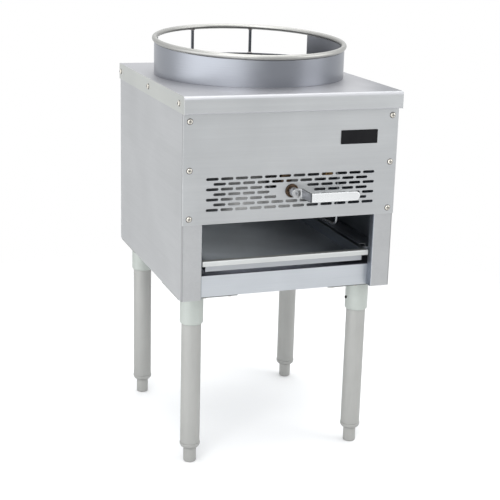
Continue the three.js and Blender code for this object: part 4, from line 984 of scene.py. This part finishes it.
def makeFoot(corner, v):
    # a round foot on a threaded stem
    place = Matrix.Translation(legCentres[corner])
    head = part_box("foot_cap_" + corner)[0].z - clearance
    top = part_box("foot_" + corner)[1].z
    wide, stem = v["footRadius"], v["stemRadius"]
    bm = bmesh.new()
    sole = eased([(0, 0), (wide, 0), (wide, head), (stem + 1 * mm, head)], v["soleRound"], 6)
    last = turnProfile(bm, sole, 36, place)[-1]
    for ring in threadedRows(place, head, top, stem, v["threadPitch"], v["threadDepth"]):
        made = [bm.verts.new(point) for point in ring]
        bridge(bm, last, made)
        last = made
    bm.faces.new(last)
    addPiece("foot_screw_" + corner, finishMesh(bm, 50), "levelling_foot_" + corner, "legSteel",
             ["foot_" + corner])


for corner in cornerNames:
    for makePart in (makeSocket, makeLegTube, makeFootCap, makeFoot):
        makePart(corner, legs)
print("legs made")

fasteners = {
    "headRadius": 5.4 * mm, "headHeight": 2.8 * mm, "recess": 2.9 * mm, "recessDepth": 1.5 * mm,
    "crossWidth": 1.0 * mm, "frontX": 214.8 * mm, "frontZ": [743 * mm, 646.5 * mm, 549.5 * mm],
    "stripY": [22.9 * mm, 254.3 * mm, 495.5 * mm], "stripZ": 775.4 * mm,
    "backX": 216 * mm, "backZ": [740 * mm, 580 * mm, 420 * mm],
    # in millimetres from the leg's axis, away from the cabinet's middle
    "boltSpots": [(-71.5, 28.5), (-18.5, 28.5), (28.5, -18.5), (28.5, -71.5)],
    "boltRadius": 5.2 * mm, "boltHeight": 3.6 * mm, "grubRadius": 3.2 * mm, "grubDrop": 38 * mm,
    "grubFacing": {"front_right": (-1, 0, 0), "front_left": (0, 1, 0), "rear_left": (1, 0, 0),
                   "rear_right": (0, -1, 0)},
}


def crossHead(bm, place, v):
    # a domed head on a thin dark washer, which is painted shadow round the head; four lands in its dished
    # middle leave a cross between them
    r, h, dish = v["headRadius"], v["headHeight"], v["recess"]
    start = len(bm.faces)
    dome = [(0, -0.2 * mm), (r, -0.2 * mm), (r, h * 0.3)]
    for k in range(1, 7):
        a = math.pi / 2 * k / 6
        dome.append((dish + (r - dish) * math.cos(a), h * (0.3 + 0.7 * math.sin(a))))
    floor = h - v["recessDepth"]
    turnProfile(bm, dome + [(dish * 0.85, floor), (0, floor)], 28, place)
    turnProfile(bm, [(r * 0.9, 0.25 * mm), (r * 1.16, 0.25 * mm), (r * 1.2, -0.2 * mm)], 28, place)
    w = v["crossWidth"] / 2
    for sx in (-1, 1):
        for sy in (-1, 1):
            land = [(w, w), (dish * 0.97, w), (dish * 0.7, dish * 0.7), (w, dish * 0.97)]
            skinRings(bm, [[place @ Vector((sx * x, sy * y, z)) for x, y in land]
                           for z in (floor - 0.2 * mm, h - 0.2 * mm)])
    # the dished middle, the washer and the foot of the head are painted dark: painted shade
    back = place.inverted()
    bm.faces.ensure_lookup_table()
    for face in bm.faces[start:]:
        spot = back @ face.calc_center_median()
        sunk = math.hypot(spot.x, spot.y) < dish and spot.z < h - 0.25 * mm
        face.material_index = int(sunk or spot.z < h * 0.28)


def makePanelScrews(v):
    bm = bmesh.new()
    for side in (-1, 1):
        for z in v["frontZ"]:
            crossHead(bm, aimed((side * v["frontX"], panelFace, z), (0, -1, 0)), v)
        for z in v["backZ"]:
            crossHead(bm, aimed((side * v["backX"], backHigh.y, z), (0, 1, 0)), v)
        for y in v["stripY"]:
            crossHead(bm, aimed((side * plateTopCorner.x, panelFace + y, v["stripZ"]), (side, 0, 0)), v)
    screws = addPiece("panel_screws", finishMesh(bm, 40), "cabinet", "screwSteel")
    screws.data.materials.append(finishes["recessShadeAndBlackGrub"])


def makeLegFixings(v):
    bm = bmesh.new()
    r, h, g = v["boltRadius"], v["boltHeight"], v["grubRadius"]
    washer = [(0, 0.2 * mm), (r * 1.35, 0.2 * mm), (r * 1.35, 0.9 * mm), (r, 0.9 * mm)]
    bolt = [(r, 0.7 * mm), (r, h - 0.5 * mm), (r * 0.86, h), (0, h)]
    grub = [(0, 0), (g, 0), (g, 2.4 * mm), (g - 0.5 * mm, 2.9 * mm), (g * 0.5, 2.9 * mm),
            (g * 0.5, 1.2 * mm), (0, 1.2 * mm)]
    for corner, centre in legCentres.items():
        sx, sy = outward[corner]
        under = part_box("leg_socket_" + corner)[1].z - legs["plateThick"]
        for bx, by in v["boltSpots"]:
            place = aimed(centre + Vector((sx * bx * mm, sy * by * mm, under)), (0, 0, -1))
            turnProfile(bm, washer, 28, place)
            turnProfile(bm, bolt, 6, place)
        # the set screw is black all over
        start = len(bm.faces)
        facing = Vector(v["grubFacing"][corner])
        spot = centre + facing * (legs["collarRadius"] - 0.5 * mm) + Vector((0, 0, under - v["grubDrop"]))
        turnProfile(bm, grub, 24, aimed(spot, facing))
        bm.faces.ensure_lookup_table()
        for dark in bm.faces[start:]:
            dark.material_index = 1
    fixings = addPiece("leg_fixings", finishMesh(bm, 30), "cabinet", "screwSteel")
    fixings.data.materials.append(finishes["recessShadeAndBlackGrub"])


makePanelScrews(fasteners)
makeLegFixings(fasteners)
print("fasteners set")

blankPlate = {
    "left": 102.3 * mm, "right": 183.1 * mm, "low": 686.9 * mm, "high": 715.4 * mm, "corner": 1.2 * mm,
    "thickness": 0.9 * mm, "edgeRound": 0.25 * mm,
}


def makeBlankPlate(v):
    r = v["corner"]
    left, right, low, high = v["left"] + r, v["right"] - r, v["low"] + r, v["high"] - r
    outline = []
    for x, z, turn in ((right, low, -90), (right, high, 0), (left, high, 90), (left, low, 180)):
        for a in (math.radians(turn + 90 * k / 4) for k in range(5)):
            outline.append((x + r * math.cos(a), z + r * math.sin(a)))
    mesh = punchedSheet("blankPlate", [outline], v["thickness"], v["edgeRound"])
    addPiece("blank_plate", standUp(mesh, panelFace - v["thickness"] / 2), "cabinet", "blackPlate")


makeBlankPlate(blankPlate)
print("blank plate set")

supply = {
    "radius": 13.35 * mm, "bore": 10.4 * mm, "threadLength": 17 * mm, "pitch": 1.8 * mm, "depth": 1.0 * mm,
    "chamfer": 0.8 * mm, "sides": 48,
}


def makeSupplyPipe(v):
    x, z = (pipeLow.x + pipeHigh.x) / 2, (pipeLow.z + pipeHigh.z) / 2
    place = Matrix.Translation((x, 0, z)) @ Matrix.Rotation(-math.pi / 2, 4, "X")
    start, end = pipeLow.y, pipeHigh.y
    chamfer = v["chamfer"]

    def plain(radius, along):
        return [place @ Vector((radius * c, radius * s, along)) for c, s in unitCircle(v["sides"])]

    rows = [plain(v["bore"], start), plain(v["radius"], start)]
    rows += threadedRows(place, end - v["threadLength"], end - chamfer, v["radius"], v["pitch"], v["depth"],
                         v["sides"])
    rows += [plain(v["radius"] - chamfer, end), plain(v["bore"] + 0.5 * mm, end),
             plain(v["bore"], end - 0.5 * mm)]
    bm = bmesh.new()
    skinRings(bm, rows, closedPath=True)
    addPiece("supply_pipe_threaded", finishMesh(bm, 45), "cabinet", "blackPipe",
             ["supply_pipe"])


makeSupplyPipe(supply)
print("supply pipe made")

burner = {  # lengths in millimetres
    "bowlRadius": 38, "bowlHeight": 44, "bowlDrop": 24.7, "headRadius": 82, "headInner": 44,
    "headRim": 16, "domeRadius": 30, "domeSunk": 3, "wall": 4.5, "edgeRound": 5,
    "portRadius": 2.2, "bossRadius": 4.2, "outerPorts": 16, "midPorts": 16, "domePorts": 6,
    "mixerRadius": 20, "mixerBore": 15, "mixerInBowl": 3, "bellRadius": 27, "bellLength": 15, "bellRim": 4.5,
    "bellBand": 6,
}


def makeBurner(v):
    low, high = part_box("burner")
    base, head = valveZ - v["bowlDrop"] * mm, high.z
    bowl, neck = v["bowlRadius"] * mm, base + v["bowlHeight"] * mm
    wide, inner, dome = v["headRadius"] * mm, v["headInner"] * mm, v["domeRadius"] * mm
    rim = head - v["headRim"] * mm
    floor = rim + v["wall"] * mm
    domeTop = head - v["domeSunk"] * mm
    bm = bmesh.new()
    skin = eased([(0, base), (bowl, base), (bowl, neck), (wide, rim), (wide, head), (inner, head),
                  (inner, floor), (dome, floor), (dome, domeTop), (0, domeTop)], v["edgeRound"] * mm, 5)
    turnProfile(bm, skin, 96, ringAxis)
    mouth, bell, tube, bore = v["bellLength"], v["bellRadius"], v["mixerRadius"], v["mixerBore"]
    end = (ringY - low.y) / mm - v["bowlRadius"] + v["mixerInBowl"]
    mixer = [(bore, mouth), (bell - v["bellRim"], 0), (bell, 0), (bell, v["bellBand"]), (tube, mouth),
             (tube, end), (bore, end)]
    turnHollow(bm, [(r * mm, along * mm) for r, along in mixer], 48, aimed((0, low.y, valveZ), (0, 1, 0)))
    addPiece("burner_casting", finishMesh(bm, 40), "cabinet", "castIron", ["burner"])

    # drilled bosses: slanting ones round the edge, upright ones on the ring and the dome
    bm = bmesh.new()
    boss, hole = v["bossRadius"] * mm, v["portRadius"] * mm
    profile = [(boss + 1 * mm, -1.5 * mm), (boss, 0.8 * mm), (boss - 0.6 * mm, 1.3 * mm), (hole, 1.3 * mm),
               (hole, -2 * mm), (0, -2 * mm)]
    rows = [(v["outerPorts"], wide - 3.2 * mm, head - 3.2 * mm, math.radians(45)),
            (v["midPorts"], (wide + inner) / 2, head, 0), (v["domePorts"], dome * 0.6, domeTop, 0)]
    for count, radius, z, tilt in rows:
        for out in (Vector((c, s, 0)) for c, s in unitCircle(count)):
            lean = out * math.sin(tilt) + Vector((0, 0, math.cos(tilt)))
            turnProfile(bm, profile, 16, aimed(Vector((ringX, ringY, z)) + out * radius, lean))
    addPiece("burner_ports", finishMesh(bm, 40), "cabinet", "castIron")


makeBurner(burner)
print("burner made")

photoView = {
    "azimuth": -19.962, "elevation": 15.823, "roll": 1.570, "distance": 2.6574, "lens": 85.30,
    "lookAt": (5.0 * mm, 250 * mm, 403.4 * mm),  # its depth is counted from the front panel
    "sensor": 36, "farthest": 60,
}


def placeCamera(v):
    a, e, roll = (math.radians(v[key]) for key in ("azimuth", "elevation", "roll"))
    back = Vector((math.sin(a) * math.cos(e), -math.cos(a) * math.cos(e), math.sin(e)))
    right = (-back).cross(Vector((0, 0, 1))).normalized()
    up = right.cross(-back)
    acrossView = math.cos(roll) * right + math.sin(roll) * up
    upView = -math.sin(roll) * right + math.cos(roll) * up
    lens = bpy.data.cameras.new("photoView")
    lens.lens = v["lens"]
    lens.sensor_width = v["sensor"]
    lens.clip_end = v["farthest"]
    camera = bpy.data.objects.new("photoView", lens)
    x, y, z = v["lookAt"]
    target = Vector((x, y + panelFace, z))
    turn = Matrix((acrossView, upView, back)).transposed().to_4x4()
    camera.matrix_world = Matrix.Translation(target + back * v["distance"]) @ turn
    bpy.context.scene.collection.objects.link(camera)
    bpy.context.scene.camera = camera


studio = {
    "horizon": 0.88, "zenith": 1.12, "ground": 0.98, "tint": (0.97, 0.985, 1.0),
    # the heights of a unit sphere over which the sky brightens, and over which ground turns to sky
    "skyRise": (0.0, 0.8), "groundEdge": (-0.12, 0.06),
    # azimuth from the front and elevation of each soft patch, how wide it is, and what it adds
    "patches": [(-66, -14, 56, 1.27), (24, -14, 48, -0.18), (-160, -14, 55, -0.10)],
    # where each soft light hangs, its size and its power, and the spot that they all shine on
    "lights": {"keyLight": ((-1.3, -2.0, 2.7), 1.6, 36), "overLight": ((0.3, 0.4, 3.0), 2.2, 26),
               "fillLight": ((2.4, -1.4, 1.5), 1.8, 20)},
    "spot": (0, 0, 0.5),
    "floorColour": (0.92, 0.92, 0.92), "floorBounce": (0.74, 0.74, 0.74), "floorRadius": 2.0,
    "floorFade": (0.5, 1.5), "floorRough": 0.9, "floorSpecular": 0.1,
}


def areaLight(name, place, spot, size, power):
    data = bpy.data.lights.new(name, "AREA")
    data.shape = "SQUARE"
    data.size = size
    data.energy = power
    light = bpy.data.objects.new(name, data)
    light.matrix_world = aimed(place, Vector(place) - Vector(spot))  # its own Z points backwards
    light.visible_camera = False
    bpy.context.scene.collection.objects.link(light)


def makeSurroundings(v):
    world = bpy.data.worlds.new("studio")
    bpy.context.scene.world = world
    world.use_nodes = True
    tree = world.node_tree
    lit = tree.nodes["Background"]
    direction = tree.nodes.new("ShaderNodeTexCoord").outputs["Generated"]
    split = tree.nodes.new("ShaderNodeSeparateXYZ")
    tree.links.new(direction, split.inputs[0])
    sky = rangeNode(tree, split.outputs["Z"], *v["skyRise"], v["horizon"], v["zenith"], smooth=True)
    level = rangeNode(tree, split.outputs["Z"], *v["groundEdge"], v["ground"], sky, smooth=True)
    for azimuth, elevation, width, extra in v["patches"]:
        a, e = math.radians(azimuth), math.radians(elevation)
        aim = (math.sin(a) * math.cos(e), -math.cos(a) * math.cos(e), math.sin(e))
        near = vectorNode(tree, "DOT_PRODUCT", direction, aim)
        patch = rangeNode(tree, near, math.cos(math.radians(width)), 1.0, 0.0, extra, smooth=True)
        level = mathNode(tree, "ADD", level, patch)
    lit.inputs["Color"].default_value = (*v["tint"], 1)
    tree.links.new(level, lit.inputs["Strength"])
    plain = tree.nodes.new("ShaderNodeBackground")
    plain.inputs["Color"].default_value = (1, 1, 1, 1)
    seen = tree.nodes.new("ShaderNodeLightPath").outputs["Is Camera Ray"]
    choose = tree.nodes.new("ShaderNodeMixShader")
    tree.links.new(seen, choose.inputs["Fac"])
    tree.links.new(lit.outputs["Background"], choose.inputs[1])
    tree.links.new(plain.outputs["Background"], choose.inputs[2])
    tree.links.new(choose.outputs["Shader"], tree.nodes["World Output"].inputs["Surface"])


def makeFloor(v):
    bm = bmesh.new()
    turnProfile(bm, [(0, 0), (v["floorRadius"], 0)], 96, Matrix.Identity(4))
    floor = bpy.data.objects.new("studioFloor", finishMesh(bm))
    bpy.context.scene.collection.objects.link(floor)
    pale = bpy.data.materials.new("paleFloor")
    pale.use_nodes = True
    tree = pale.node_tree
    shader = tree.nodes["Principled BSDF"]
    away = tree.nodes.new("ShaderNodeVectorMath")
    away.operation = "LENGTH"
    tree.links.new(placeOn(tree), away.inputs[0])
    tree.links.new(rangeNode(tree, away.outputs["Value"], *v["floorFade"], 1.0, 0.0, smooth=True),
                   shader.inputs["Alpha"])
    # the floor throws back less light than it shows, so the sheets above it stay even
    seen = tree.nodes.new("ShaderNodeLightPath").outputs["Is Camera Ray"]
    shown = mixColour(tree, seen, (*v["floorBounce"], 1), (*v["floorColour"], 1))
    tree.links.new(shown, shader.inputs["Base Color"])
    shader.inputs["Roughness"].default_value = v["floorRough"]
    shader.inputs["Specular IOR Level"].default_value = v["floorSpecular"]
    floor.data.materials.append(pale)


def lightStudio(v):
    for name, (place, size, power) in v["lights"].items():
        areaLight(name, place, v["spot"], size, power)
    makeSurroundings(v)
    makeFloor(v)
    bpy.context.scene.view_settings.view_transform = "Standard"


placeCamera(photoView)
lightStudio(studio)
print("studio ready")
